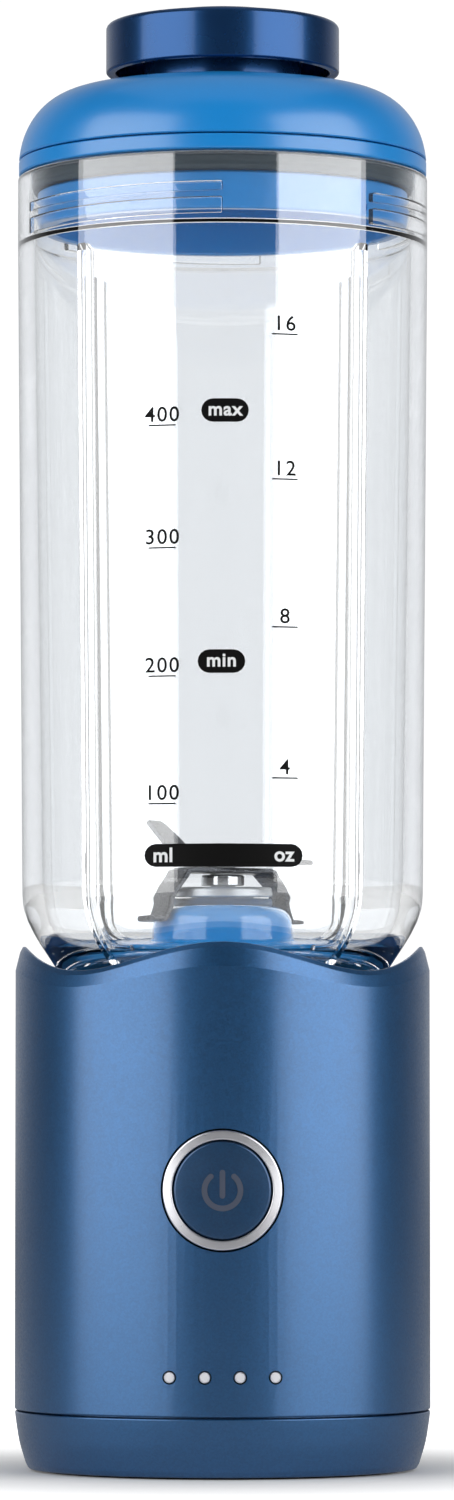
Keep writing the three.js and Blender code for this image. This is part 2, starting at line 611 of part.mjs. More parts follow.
function batteryTray() {
  const cradleFoot = TRAY_BOTTOM + TRAY_FLOOR / 2;
  const cradleTop = TRAY_TOP + CRADLE_HEIGHT;
  const half = CRADLE_OPENING / 2;
  const openSides = block(-BASE_RADIUS, BASE_RADIUS, -half, half, cradleFoot - 1, cradleTop + 1);
  const inside = disc(COVER_BORE - 2 * CRADLE_WALL, cradleFoot - 1, cradleTop + 1, ROUND);
  const cradles = cellSpots.map((x) =>
    cut(
      common(rod(CELL_RADIUS + GAP + CRADLE_WALL, cradleFoot, cradleTop, x, 0, SMALL), inside),
      rod(CELL_RADIUS + GAP, cradleFoot - 1, cradleTop + 1, x, 0, SMALL),
      openSides,
    ));
  const bossHoles = screwSpots().map(([x, y]) =>
    rod(SCREW_HEAD_RADIUS + BOSS_WALL + 2 * GAP, TRAY_BOTTOM - 1, TRAY_TOP + 1, x, y, SMALL));
  const plate = cut(
    disc(COVER_BORE - GAP, TRAY_BOTTOM, TRAY_TOP, ROUND),
    disc(MOTOR_RADIUS + RUNNING_GAP, TRAY_BOTTOM - 1, TRAY_TOP + 1, MIDDLE),
    ...bossHoles,
  );
  return join(plate, ...cradles);
}

// Deck, well and bayonet channel that the cup drops into.
function cupSocket() {
  const channelOutside = CHANNEL_RADIUS + DECK_THICKNESS / 2;
  const wellOutside = WELL_RADIUS + WELL_WALL;
  const sealSeat = SEAL_RING_RADIUS + GAP;
  const body = turned([
    [sealSeat, WELL_BOTTOM],
    [wellOutside, WELL_BOTTOM],
    [wellOutside, CHANNEL_FLOOR - SOCKET_FLOOR],
    [channelOutside, CHANNEL_FLOOR - SOCKET_FLOOR],
    [channelOutside, DECK_TOP - DECK_THICKNESS],
    [SOCKET_RADIUS - WELL_WALL, DECK_TOP - DECK_THICKNESS],
    [SOCKET_RADIUS - WELL_WALL, DECK_TOP - DECK_SKIRT],
    [SOCKET_RADIUS, DECK_TOP - DECK_SKIRT],
    [SOCKET_RADIUS, DECK_TOP],
    [CHANNEL_RADIUS, DECK_TOP],
    [CHANNEL_RADIUS, CHANNEL_FLOOR],
    [wellOutside, CHANNEL_FLOOR],
    [wellOutside, DECK_TOP],
    [WELL_RADIUS, DECK_TOP],
    [WELL_RADIUS, WELL_TOP],
    [sealSeat, WELL_TOP],
  ], MIDDLE);
  const lipBottom = FOOT_RING_BOTTOM + LUG_UP + LUG_HEIGHT + GAP;
  const lips = around(BAYONET_LUGS, 0, () =>
    bentBar(
      FOOT_RING_RADIUS + GAP, CHANNEL_RADIUS + DECK_THICKNESS / 4, lipBottom, lipBottom + LIP_THICKNESS,
      -LIP_SPAN / 2, LIP_SPAN / 2, BAYONET_LEAD,
    ));
  return join(body, ...lips);
}

const splashSeal = () =>
  ring(SEAL_RING_BORE, SEAL_RING_RADIUS, WELL_BOTTOM + GAP, WELL_BOTTOM + GAP + SEAL_RING_HEIGHT);

// ---------- Motor ----------

const motorScrewSpots = [[0, -MOTOR_SCREW_CIRCLE], [0, MOTOR_SCREW_CIRCLE]];

function motorMount() {
  const half = MOUNT_WIDTH / 2;
  const plate = common(
    disc(SOCKET_RADIUS - WELL_WALL, MOUNT_BOTTOM, MOUNT_TOP, ROUND),
    block(-half, half, -BASE_RADIUS, BASE_RADIUS, MOUNT_BOTTOM, MOUNT_TOP),
  );
  const screwHoles = motorScrewSpots.map(([x, y]) =>
    rod(SCREW_SHANK_RADIUS + GAP, MOUNT_BOTTOM - 1, MOUNT_TOP + 1, x, y));
  return cut(plate, disc(BEARING_RADIUS + GAP, MOUNT_BOTTOM - 1, MOUNT_TOP + 1), ...screwHoles);
}

function motorScrew(i) {
  const [x, y] = motorScrewSpots[i];
  const headBottom = MOUNT_TOP + GAP;
  const shankBottom = MOTOR_TOP - MOTOR_FACE;
  return turned([
    [0, shankBottom],
    [SCREW_SHANK_RADIUS, shankBottom],
    [SCREW_SHANK_RADIUS, headBottom],
    [SCREW_HEAD_RADIUS, headBottom],
    [SCREW_HEAD_RADIUS, headBottom + SCREW_HEAD_HEIGHT],
    [0, headBottom + SCREW_HEAD_HEIGHT],
  ], PIN).translate(x, y, 0);
}

function motorCan() {
  const bearingSeat = BEARING_RADIUS + GAP;
  const bore = MOTOR_RADIUS - MOTOR_SKIN;
  const faceBottom = MOTOR_TOP - MOTOR_FACE;
  const seatBottom = MOTOR_TOP - BEARING_WIDTH - 2 * GAP;
  const can = turned([
    [MOTOR_SHAFT_RADIUS + RUNNING_GAP, seatBottom - MOTOR_SKIN],
    [bearingSeat + MOTOR_SKIN, seatBottom - MOTOR_SKIN],
    [bearingSeat + MOTOR_SKIN, faceBottom],
    [bore, faceBottom],
    [bore, MOTOR_BOTTOM],
    [MOTOR_RADIUS, MOTOR_BOTTOM],
    [MOTOR_RADIUS, MOTOR_TOP],
    [bearingSeat, MOTOR_TOP],
    [bearingSeat, seatBottom],
    [MOTOR_SHAFT_RADIUS + RUNNING_GAP, seatBottom],
  ], MIDDLE);
  const screwHoles = motorScrewSpots.map(([x, y]) =>
    rod(SCREW_SHANK_RADIUS + GAP, faceBottom - 1, MOTOR_TOP + 1, x, y));
  return cut(can, ...screwHoles);
}

// Inner end of the motor: holds the lower bearing and the two brushes.
function motorEndCap() {
  return turned([
    [MOTOR_SHAFT_RADIUS + RUNNING_GAP, END_CAP_BOTTOM - MOTOR_SKIN],
    [MOTOR_RADIUS, END_CAP_BOTTOM - MOTOR_SKIN],
    [MOTOR_RADIUS, END_CAP_TOP],
    [BEARING_RADIUS + GAP, END_CAP_TOP],
    [BEARING_RADIUS + GAP, END_CAP_BOTTOM],
    [MOTOR_SHAFT_RADIUS + RUNNING_GAP, END_CAP_BOTTOM],
  ], MIDDLE);
}

const bearing = (bottom) =>
  ring(MOTOR_SHAFT_RADIUS + GAP, BEARING_RADIUS, bottom, bottom + BEARING_WIDTH);

const magnetRadius = MOTOR_RADIUS - MOTOR_SKIN - GAP;
const armatureRadius = magnetRadius - MAGNET_THICKNESS - AIR_GAP;
const armatureMiddle = (MOTOR_BOTTOM + MOTOR_TOP - MOTOR_FACE) / 2 + END_TURN_HEIGHT / 2;
const armatureBottom = armatureMiddle - ARMATURE_LENGTH / 2;
const armatureTop = armatureMiddle + ARMATURE_LENGTH / 2;

const magnet = (centre) =>
  bentBar(
    magnetRadius - MAGNET_THICKNESS, magnetRadius, armatureBottom, armatureTop,
    centre - MAGNET_SPAN / 2, centre + MAGNET_SPAN / 2, 0, MAGNET_STEPS,
  );

const brushBottom = END_CAP_TOP + 2 * GAP;

const brush = (side) => {
  const inner = COMMUTATOR_RADIUS + GAP;
  const outer = magnetRadius - MAGNET_THICKNESS;
  const bar = block(inner, outer, -BRUSH_WIDTH / 2, BRUSH_WIDTH / 2, brushBottom, brushBottom + BRUSH_WIDTH);
  return bar.rotateZ(side > 0 ? 0 : Math.PI);
};

const motorShaft = () =>
  disc(MOTOR_SHAFT_RADIUS, END_CAP_BOTTOM - MOTOR_SKIN / 2, DRIVE_TOP - RUNNING_GAP);

const slotCutter = (spare) =>
  block(
    armatureRadius - SLOT_DEPTH - spare, armatureRadius + 1, -SLOT_WIDTH / 2 - spare, SLOT_WIDTH / 2 + spare,
    armatureBottom - 1, armatureTop + 1,
  );

function armatureCore() {
  const core = ring(MOTOR_SHAFT_RADIUS + GAP, armatureRadius, armatureBottom, armatureTop, SMALL);
  return cut(core, ...around(ARMATURE_SLOTS, 0, () => slotCutter(0)));
}

// Copper coils: bars through the slots, joined by the end turns above and below the core.
function armatureWinding() {
  const inner = armatureRadius - SLOT_DEPTH + GAP;
  const outer = armatureRadius - GAP;
  const ends = [
    ring(inner, outer, armatureTop + GAP, armatureTop + GAP + END_TURN_HEIGHT),
    ring(inner, outer, armatureBottom - GAP - END_TURN_HEIGHT, armatureBottom - GAP),
  ];
  const bars = around(ARMATURE_SLOTS, 0, () =>
    block(
      inner + GAP, outer - GAP, GAP - SLOT_WIDTH / 2, SLOT_WIDTH / 2 - GAP,
      armatureBottom - 2 * GAP, armatureTop + 2 * GAP,
    ));
  return join(...ends, ...bars);
}

const commutator = () =>
  ring(MOTOR_SHAFT_RADIUS + GAP, COMMUTATOR_RADIUS, brushBottom - GAP, brushBottom - GAP + COMMUTATOR_LENGTH);

const dogs = (bottom, startDegrees) =>
  around(DOGS, startDegrees, () =>
    bentBar(
      DOG_INNER_RADIUS, COUPLING_RADIUS, bottom, bottom + DOG_HEIGHT + GAP,
      -DOG_SPAN / 2, DOG_SPAN / 2, 0, 2,
    ));

function driveCoupling() {
  const plate = ring(MOTOR_SHAFT_RADIUS + GAP, COUPLING_RADIUS, COUPLING_BOTTOM, DRIVE_TOP, MIDDLE);
  return join(plate, ...dogs(DRIVE_TOP - GAP, 0));
}

// ---------- Controls and charging ----------

const frontDisc = () =>
  disc(BASE_RADIUS - BUTTON_RECESS, BUTTON_Z - BASE_RADIUS, BUTTON_Z + BASE_RADIUS, ROUND);

// The button's face follows the housing's curve; its flange keeps it behind the ring.
function powerButton() {
  const plug = crossBar(BUTTON_RADIUS, -BASE_RADIUS, RING_BACK + 4 * GAP, 0, BUTTON_Z, MIDDLE);
  const face = common(plug, frontDisc());
  const flangeFront = RING_BACK + 2 * GAP;
  const flange = crossBar(BUTTON_RADIUS + BUTTON_FLANGE, flangeFront, flangeFront + 1, 0, BUTTON_Z, MIDDLE);
  const hollow = crossBar(
    BUTTON_RADIUS - BUTTON_SKIN, -BASE_RADIUS + 2 * BUTTON_SKIN, 0, 0, BUTTON_Z, SMALL);
  const stalkEnd = BOARD_FACE - SWITCH_HEIGHT - 2 * GAP - BUTTON_TRAVEL;
  const stalk = crossBar(SWITCH_SIZE / 3, -BASE_RADIUS + BUTTON_SKIN, stalkEnd, 0, BUTTON_Z);
  return join(cut(join(face, flange), hollow), stalk);
}

const buttonRing = () =>
  common(
    cut(
      crossBar(RING_RADIUS, -BASE_RADIUS - 1, RING_BACK, 0, BUTTON_Z, MIDDLE),
      crossBar(RING_BORE, -BASE_RADIUS - 2, 0, 0, BUTTON_Z, MIDDLE),
    ),
    disc(BASE_RADIUS - GAP / 3, BUTTON_Z - BASE_RADIUS, BUTTON_Z + BASE_RADIUS, ROUND),
  );

const controlBoard = () => {
  const bottom = HOUSING_BOTTOM + BOARD_LOW_UP;
  const top = MOUNT_BOTTOM - BOARD_BELOW_MOUNT;
  return block(
    -BOARD_WIDTH / 2, BOARD_WIDTH / 2, BOARD_FACE, BOARD_FACE + BOARD_THICKNESS, bottom, top);
};

const powerSwitch = () => {
  const back = BOARD_FACE - GAP;
  const half = SWITCH_SIZE / 2;
  return block(-half, half, back - SWITCH_HEIGHT + GAP, back, BUTTON_Z - half, BUTTON_Z + half);
};

const dotSpots = () => Array.from({ length: LIGHT_DOTS }, (_, i) => (i - (LIGHT_DOTS - 1) / 2) * DOT_SPACING);

// Four light pipes on one bar, ending flush in the housing's front.
function lightGuide() {
  const back = BOARD_FACE - 4 * GAP;
  const front = back - BASE_WALL;
  const half = ((LIGHT_DOTS - 1) / 2) * DOT_SPACING + 2 * DOT_RADIUS;
  const bar = block(-half, half, front, back, DOT_Z - 2 * DOT_RADIUS, DOT_Z + 2 * DOT_RADIUS);
  const pins = dotSpots().map((x) =>
    common(
      crossBar(DOT_RADIUS, -BASE_RADIUS, back, x, DOT_Z, PIN),
      disc(BASE_RADIUS - BUTTON_RECESS, HOUSING_BOTTOM, BUTTON_Z, MIDDLE),
    ));
  return join(bar, ...pins);
}

// A bar along Y with the charge port's rounded outline, centred on its height.
function portOutline(halfWidth, halfHeight, corner, fromY, toY) {
  const shape = new THREE.Shape();
  shape.moveTo(-halfWidth + corner, -halfHeight);
  shape.lineTo(halfWidth - corner, -halfHeight);
  shape.absarc(halfWidth - corner, -halfHeight + corner, corner, -Math.PI / 2, 0);
  shape.absarc(halfWidth - corner, halfHeight - corner, corner, 0, Math.PI / 2);
  shape.absarc(-halfWidth + corner, halfHeight - corner, corner, Math.PI / 2, Math.PI);
  shape.absarc(-halfWidth + corner, -halfHeight + corner, corner, Math.PI, 1.5 * Math.PI);
  const bar = new THREE.ExtrudeGeometry(shape, { depth: toY - fromY, bevelEnabled: false, curveSegments: 4 });
  return bar.rotateX(Math.PI / 2).translate(0, toY, PORT_Z);
}

// Charge socket: an open metal shell with its contact tongue.
function chargePort() {
  const halfWidth = PORT_WIDTH / 2;
  const halfHeight = PORT_HEIGHT / 2;
  const shell = cut(
    portOutline(halfWidth, halfHeight, PORT_CORNER, PORT_BACK_Y, PORT_MOUTH_Y),
    portOutline(
      halfWidth - PORT_SHELL, halfHeight - PORT_SHELL, PORT_CORNER - PORT_SHELL,
      PORT_BACK_Y + 1, PORT_MOUTH_Y + 1,
    ),
  );
  const tongue = block(
    -halfWidth + PORT_CORNER, halfWidth - PORT_CORNER, PORT_BACK_Y + PORT_SHELL, PORT_MOUTH_Y - 1,
    PORT_Z - PORT_SHELL, PORT_Z + PORT_SHELL,
  );
  return join(shell, tongue);
}

const chargeBoard = () =>
  block(
    -CHARGE_BOARD_WIDTH / 2, CHARGE_BOARD_WIDTH / 2, PORT_BACK_Y - GAP - BOARD_THICKNESS, PORT_BACK_Y - GAP,
    TRAY_TOP + GAP, TRAY_TOP + GAP + CHARGE_BOARD_HEIGHT,
  );

// Rubber flap over the charge port. Its rounded upper edge is the hinge.
function portCover() {
  const half = FLAP_WIDTH / 2;
  const leaf = block(-half, half, FLAP_BACK, BASE_RADIUS, FLAP_BOTTOM, FLAP_PIN_Z);
  const pin = disc(FLAP_THICKNESS / 2, -half, half, SMALL).rotateY(Math.PI / 2);
  const roll = pin.translate(0, FLAP_PIN_Y, FLAP_PIN_Z);
  const skin = common(join(leaf, roll), disc(FLAP_RADIUS, HOUSING_BOTTOM, BUTTON_Z, MIDDLE));
  const halfPlug = PORT_WIDTH / 2 - PORT_SHELL - RUNNING_GAP;
  const plugTop = PORT_HEIGHT / 2 - PORT_SHELL - RUNNING_GAP;
  const plug = block(
    -halfPlug, halfPlug, FLAP_BACK - FLAP_PLUG, FLAP_BACK + GAP, PORT_Z - plugTop, PORT_Z + plugTop);
  return join(skin, plug);
}

const triggerSpot = (() => {
  const circle = (STEM_RADIUS + GAP + NUT_RADIUS) / 2;
  const angle = radians(TRIGGER_TURN);
  return [circle * Math.cos(angle), circle * Math.sin(angle)];
})();

// Sensor under the well's floor that the magnet in the cup's nut switches on.
const cupSensor = () => {
  const [x, y] = triggerSpot;
  const half = TRIGGER_MAGNET_RADIUS + RUNNING_GAP;
  return block(x - half, x + half, y - half, y + half, MOUNT_TOP + GAP, WELL_BOTTOM - RUNNING_GAP);
};

const triggerMagnet = () => {
  const [x, y] = triggerSpot;
  return rod(TRIGGER_MAGNET_RADIUS, STEM_BOTTOM + GAP, STEM_BOTTOM + GAP + TRIGGER_MAGNET_HEIGHT, x, y);
};

// ---------- Cup ----------

const cupBore = (z) => {
  const low = CUP_FLOOR_TOP + CUP_INNER_CORNER;
  return CUP_BORE_LOW + ((CUP_BORE_HIGH - CUP_BORE_LOW) * (z - low)) / (COLLAR_BOTTOM - low);
};

const innerCorner = (spare) => {
  const floor = new THREE.Vector2(FLOOR_FLAT, CUP_FLOOR_TOP + spare);
  const elbow = new THREE.Vector2(CUP_BORE_LOW - spare, CUP_FLOOR_TOP + spare);
  const wall = new THREE.Vector2(CUP_BORE_LOW - spare, CUP_FLOOR_TOP + CUP_INNER_CORNER);
  return curvePoints(floor, elbow, wall);
};

function cupWall() {
  const coneFoot = CUP_BELLY_RADIUS + CUP_BELLY_INSET - CUP_CONE_FOOT_INSET;
  const coneTop = coneFoot + CUP_CONE_SLOPE * CUP_CONE_HEIGHT;
  const elbowUp = (CUP_BELLY_RADIUS - coneFoot) / CUP_CONE_SLOPE;
  const shoulder = curvePoints(
    new THREE.Vector2(coneTop, CUP_BOTTOM + CUP_CONE_HEIGHT),
    new THREE.Vector2(CUP_BELLY_RADIUS, CUP_BOTTOM + elbowUp),
    new THREE.Vector2(CUP_BELLY_RADIUS, CUP_BOTTOM + CUP_BELLY_UP),
  );
  return turned([
    [STEM_RADIUS + GAP, CUP_BOTTOM],
    [FOOT_RING_BORE, CUP_BOTTOM],
    [FOOT_RING_BORE, FOOT_RING_BOTTOM],
    [FOOT_RING_RADIUS, FOOT_RING_BOTTOM],
    [FOOT_RING_RADIUS, CUP_BOTTOM],
    [coneFoot, CUP_BOTTOM],
    ...shoulder,
    [CUP_TOP_RADIUS, COLLAR_BOTTOM],
    [CUP_TOP_RADIUS, CUP_TOP],
    [COLLAR_BORE, CUP_TOP],
    [COLLAR_BORE, COLLAR_BOTTOM],
    [CUP_BORE_HIGH, COLLAR_BOTTOM],
    ...innerCorner(0).reverse(),
    [STEM_RADIUS + GAP, CUP_FLOOR_TOP],
  ]);
}

// One upright rib: it runs down the wall and round the corner to the floor.
function cupRib() {
  const ribTop = COLLAR_BOTTOM - RIB_BELOW_COLLAR;
  const inWall = CUP_WALL_HIGH / 3;
  const corner = innerCorner(RIB_DEPTH).filter(([radius]) => radius > RIB_INNER_END);
  const outline = [
    [RIB_INNER_END, CUP_FLOOR_TOP - 1],
    [CUP_BORE_LOW - CUP_INNER_CORNER / 3, CUP_FLOOR_TOP - 1],
    [CUP_BORE_LOW + inWall, CUP_FLOOR_TOP + RIB_FOOT_UP],
    [CUP_BORE_LOW + inWall, CUP_FLOOR_TOP + CUP_INNER_CORNER],
    [cupBore(ribTop) + inWall, ribTop],
    [cupBore(ribTop), ribTop],
    [cupBore(ribTop) - RIB_DEPTH, ribTop - RIB_DEPTH],
    ...corner.reverse(),
    [RIB_INNER_END, CUP_FLOOR_TOP + RIB_DEPTH / 2],
  ];
  const shape = new THREE.Shape(outline.map(([radius, z]) => new THREE.Vector2(radius, z)));
  const rib = new THREE.ExtrudeGeometry(shape, { depth: RIB_WIDTH, bevelEnabled: false });
  return rib.rotateX(Math.PI / 2).translate(0, RIB_WIDTH / 2, 0);
}

function cup() {
  const lugBottom = FOOT_RING_BOTTOM + LUG_UP;
  const lugs = around(BAYONET_LUGS, 0, () =>
    bentBar(
      FOOT_RING_RADIUS - FOOT_RING_WALL / 2, FOOT_RING_RADIUS + LUG_REACH, lugBottom, lugBottom + LUG_HEIGHT,
      -LUG_SPAN / 2, LUG_SPAN / 2, BAYONET_LEAD,
    ));
  const threadBottom = CUP_TOP - LID_RIDGE_DROP - LID_RIDGE_PITCH / 2;
  const thread = ridges(
    COLLAR_BORE - LID_RIDGE_REACH, COLLAR_BORE + COLLAR_WALL / 3, threadBottom, lidThread,
    LID_THREAD_TURN, 2,
  );
  return join(cupWall(), ...around(RIBS, 45, cupRib), ...lugs, ...thread);
}

// Hub, flange and threaded stem that carry the blade shaft through the cup's floor.
function bladeHolder() {
  const shoulder = curvePoints(
    new THREE.Vector2(HUB_RADIUS, HUB_TOP - HUB_ROUND_HEIGHT),
    new THREE.Vector2(HUB_RADIUS, HUB_TOP - HUB_ROUND_HEIGHT / CURVE_STEPS),
    new THREE.Vector2(HUB_TOP_RADIUS, HUB_TOP),
  );
  const recess = COUPLING_RADIUS + 2 * RUNNING_GAP;
  const bushSeat = BUSH_RADIUS + GAP;
  const sealSeat = SHAFT_SEAL_RADIUS + GAP;
  return turned([
    [recess, STEM_BOTTOM],
    [STEM_RADIUS, STEM_BOTTOM],
    [STEM_RADIUS, FLANGE_BOTTOM],
    [GASKET_RADIUS - GASKET_WIDTH / 2 - GAP, FLANGE_BOTTOM],
    [GASKET_RADIUS - GASKET_WIDTH / 2 - GAP, FLANGE_BOTTOM + GASKET_HEIGHT + GAP],
    [GASKET_RADIUS + GASKET_WIDTH / 2 + GAP, FLANGE_BOTTOM + GASKET_HEIGHT + GAP],
    [GASKET_RADIUS + GASKET_WIDTH / 2 + GAP, FLANGE_BOTTOM],
    [FLANGE_RADIUS, FLANGE_BOTTOM],
    [FLANGE_RADIUS, FLANGE_TOP],
    [HUB_RADIUS, FLANGE_TOP],
    ...shoulder,
    [sealSeat, HUB_TOP],
    [sealSeat, SHAFT_SEAL_BOTTOM - GAP],
    [bushSeat, SHAFT_SEAL_BOTTOM - GAP],
    [bushSeat, STEM_RECESS_TOP],
    [recess, STEM_RECESS_TOP],
  ], MIDDLE);
}

const holderGasket = () =>
  ring(
    GASKET_RADIUS - GASKET_WIDTH / 2, GASKET_RADIUS + GASKET_WIDTH / 2, FLANGE_BOTTOM,
    FLANGE_BOTTOM + GASKET_HEIGHT, MIDDLE,
  );

function holderNut() {
  const [x, y] = triggerSpot;
  const nut = ring(STEM_RADIUS + GAP, NUT_RADIUS, STEM_BOTTOM, STEM_BOTTOM + NUT_HEIGHT, MIDDLE);
  const pocket = rod(
    TRIGGER_MAGNET_RADIUS + GAP, STEM_BOTTOM - 1, STEM_BOTTOM + TRIGGER_MAGNET_HEIGHT + 2 * GAP, x, y);
  return cut(nut, pocket);
}

const bush = (bottom) => ring(BUSH_BORE, BUSH_RADIUS, bottom, bottom + BUSH_LENGTH);
const LOWER_BUSH_BOTTOM = STEM_RECESS_TOP + GAP;
const UPPER_BUSH_BOTTOM = SHAFT_SEAL_BOTTOM - 2 * GAP - BUSH_LENGTH;

const shaftSeal = () => ring(BUSH_BORE, SHAFT_SEAL_RADIUS, SHAFT_SEAL_BOTTOM, HUB_TOP - GAP);

const sealCap = () =>
  turned([
    [BUSH_BORE + GAP, SEAL_CAP_BOTTOM],
    [SEAL_CAP_RADIUS, SEAL_CAP_BOTTOM],
    [SEAL_CAP_RADIUS, SEAL_CAP_BOTTOM + SEAL_CAP_HEIGHT - GAP],
    [SEAL_CAP_RADIUS - GAP, SEAL_CAP_BOTTOM + SEAL_CAP_HEIGHT],
    [BUSH_BORE + GAP, SEAL_CAP_BOTTOM + SEAL_CAP_HEIGHT],
  ], MIDDLE);

// ---------- Blades ----------

const bladeShaft = () =>
  disc(BLADE_SHAFT_RADIUS, DRIVEN_BOTTOM + GAP, BLADE_NUT_BOTTOM + BLADE_NUT_HEIGHT / 2);

function drivenCoupling() {
  const hole = BLADE_SHAFT_RADIUS + GAP;
  const plate = ring(hole, COUPLING_RADIUS, DRIVEN_BOTTOM, DRIVEN_TOP);
  const sleeve = ring(hole, hole + COUPLING_BORE_WALL, DRIVEN_BOTTOM, DRIVEN_TOP + RUNNING_GAP);
  return join(plate, sleeve, ...dogs(DRIVEN_BOTTOM - DOG_HEIGHT, 180 / DOGS));
}

const bladeSpacer = () => ring(BUSH_BORE, SPACER_RADIUS, SPACER_BOTTOM, SPACER_BOTTOM + SPACER_HEIGHT);

// A blade stamped from strip: the bent side view cut to the pointed plan outline.
function bladeStrip(sideView, reach, bottom) {
  const lower = sideView.map(([x, z]) => new THREE.Vector2(x, bottom + z));
  const upper = sideView.map(([x, z]) => new THREE.Vector2(x, bottom + z + BLADE_THICKNESS)).reverse();
  const half = BLADE_WIDTH / 2;
  const strip = new THREE.ExtrudeGeometry(
    new THREE.Shape([...lower, ...upper]), { depth: BLADE_WIDTH, bevelEnabled: false });
  strip.rotateX(Math.PI / 2).translate(0, half, 0);
  const plan = new THREE.Shape([
    [-reach, -half], [reach / 2, -half], [reach, half - BLADE_TIP_WIDTH],
    [reach, half], [-reach / 2, half], [-reach, BLADE_TIP_WIDTH - half],
  ].map(([x, y]) => new THREE.Vector2(x, y)));
  const sides = new THREE.ExtrudeGeometry(plan, { depth: BLADE_REACH * 2, bevelEnabled: false });
  sides.translate(0, 0, bottom - BLADE_REACH);
  return cut(common(strip, sides), disc(BUSH_BORE, bottom - BLADE_REACH, bottom + BLADE_REACH));
}

const lowerBlade = () =>
  bladeStrip([
    [-BLADE_REACH, -LOWER_BLADE_DROP], [-LOWER_BLADE_FOOT, -LOWER_BLADE_DROP], [-LOWER_BLADE_BEND, 0],
    [LOWER_BLADE_BEND, 0], [LOWER_BLADE_FOOT, -LOWER_BLADE_DROP], [BLADE_REACH, -LOWER_BLADE_DROP],
  ], BLADE_REACH, LOWER_BLADE_BOTTOM).rotateZ(radians(LOWER_BLADE_TURN));

const upperBlade = () =>
  bladeStrip([
    [-UPPER_BLADE_TIP, UPPER_BLADE_RISE], [-UPPER_BLADE_BEND, 0], [BLADE_REACH, 0],
  ], BLADE_REACH, UPPER_BLADE_BOTTOM).rotateZ(radians(UPPER_BLADE_TURN));

const bladeNut = () =>
  cut(
    disc(BLADE_NUT_RADIUS, BLADE_NUT_BOTTOM, BLADE_NUT_BOTTOM + BLADE_NUT_HEIGHT, NUT_SIDES),
    disc(BUSH_BORE, BLADE_NUT_BOTTOM - 1, BLADE_NUT_BOTTOM + BLADE_NUT_HEIGHT / 2 + GAP),
  );

// ---------- Lid ----------

// Rim band with the threaded skirt that screws into the cup's collar.
function lidCollar() {
  const sealFloor = SKIRT_RADIUS - SEAL_GROOVE;
  const sealBottom = BAND_BOTTOM - GAP - SEAL_HEIGHT;
  const lipOutside = BAND_RADIUS - DOME_WALL - 3 * GAP;
  const body = turned([
    [SKIRT_BORE, SKIRT_BOTTOM],
    [SKIRT_RADIUS, SKIRT_BOTTOM],
    [SKIRT_RADIUS, sealBottom - GAP],
    [sealFloor, sealBottom - GAP],
    [sealFloor, BAND_BOTTOM],
    [BAND_RADIUS, BAND_BOTTOM],
    [BAND_RADIUS, BAND_TOP],
    [lipOutside, BAND_TOP],
    [lipOutside, BAND_TOP + BAND_LIP],
    [SKIRT_BORE, BAND_TOP + BAND_LIP],
  ]);
  const threadBottom = CUP_TOP - LID_RIDGE_DROP;
  const thread = ridges(
    SKIRT_RADIUS - SKIRT_WALL / 3, SKIRT_RADIUS + LID_RIDGE_REACH, threadBottom, lidThread, LID_THREAD_TURN);
  return join(body, ...thread);
}

const lidSeal = () =>
  ring(
    SKIRT_RADIUS - SEAL_GROOVE + GAP, COLLAR_BORE - GAP,
    BAND_BOTTOM - GAP - SEAL_HEIGHT, BAND_BOTTOM - GAP, ROUND);

// Quarter ellipse from the lid's edge up to its flat top, listed upwards.
function domeCurve(inset, steps) {
  const points = [];
  const centre = DOME_BOTTOM - DOME_SINK;
  const width = DOME_ROUND - inset;
  const height = DOME_HEIGHT - inset;
  const start = Math.asin(DOME_SINK / height);
  for (let i = 0; i <= steps; i += 1) {
    const angle = start + ((Math.PI / 2 - start) * i) / steps;
    points.push([BAND_RADIUS - DOME_ROUND + width * Math.cos(angle), centre + height * Math.sin(angle)]);
  }
  return points;
}

function lidDome() {
  const shell = turned([
    ...domeCurve(0, DOME_STEPS),
    [SPOUT_RADIUS, DOME_TOP],
    [SPOUT_RADIUS, SPOUT_TOP],
    [SPOUT_BORE, SPOUT_TOP],
    [SPOUT_BORE, DOME_TOP - DOME_WALL],
    ...domeCurve(DOME_WALL, DOME_STEPS - 2).reverse(),
  ]);
  const stopInner = CAP_SKIRT_RADIUS + RUNNING_GAP;
  const stops = around(2, 0, () =>
    bentBar(
      stopInner, stopInner + STOP_LUG_WALL, DOME_TOP - DOME_WALL / 2, DOME_TOP + STOP_LUG_HEIGHT,
      -STOP_LUG_SPAN / 2, STOP_LUG_SPAN / 2, 0, 1,
    ));
  const threadBottom = (DOME_TOP + SPOUT_TOP) / 2;
  const thread = ridges(
    SPOUT_RADIUS - SPOUT_WALL / 3, SPOUT_RADIUS + CAP_RIDGE_REACH, threadBottom, capThread, 0);
  return join(shell, ...stops, ...thread);
}

// ---------- Screw cap ----------

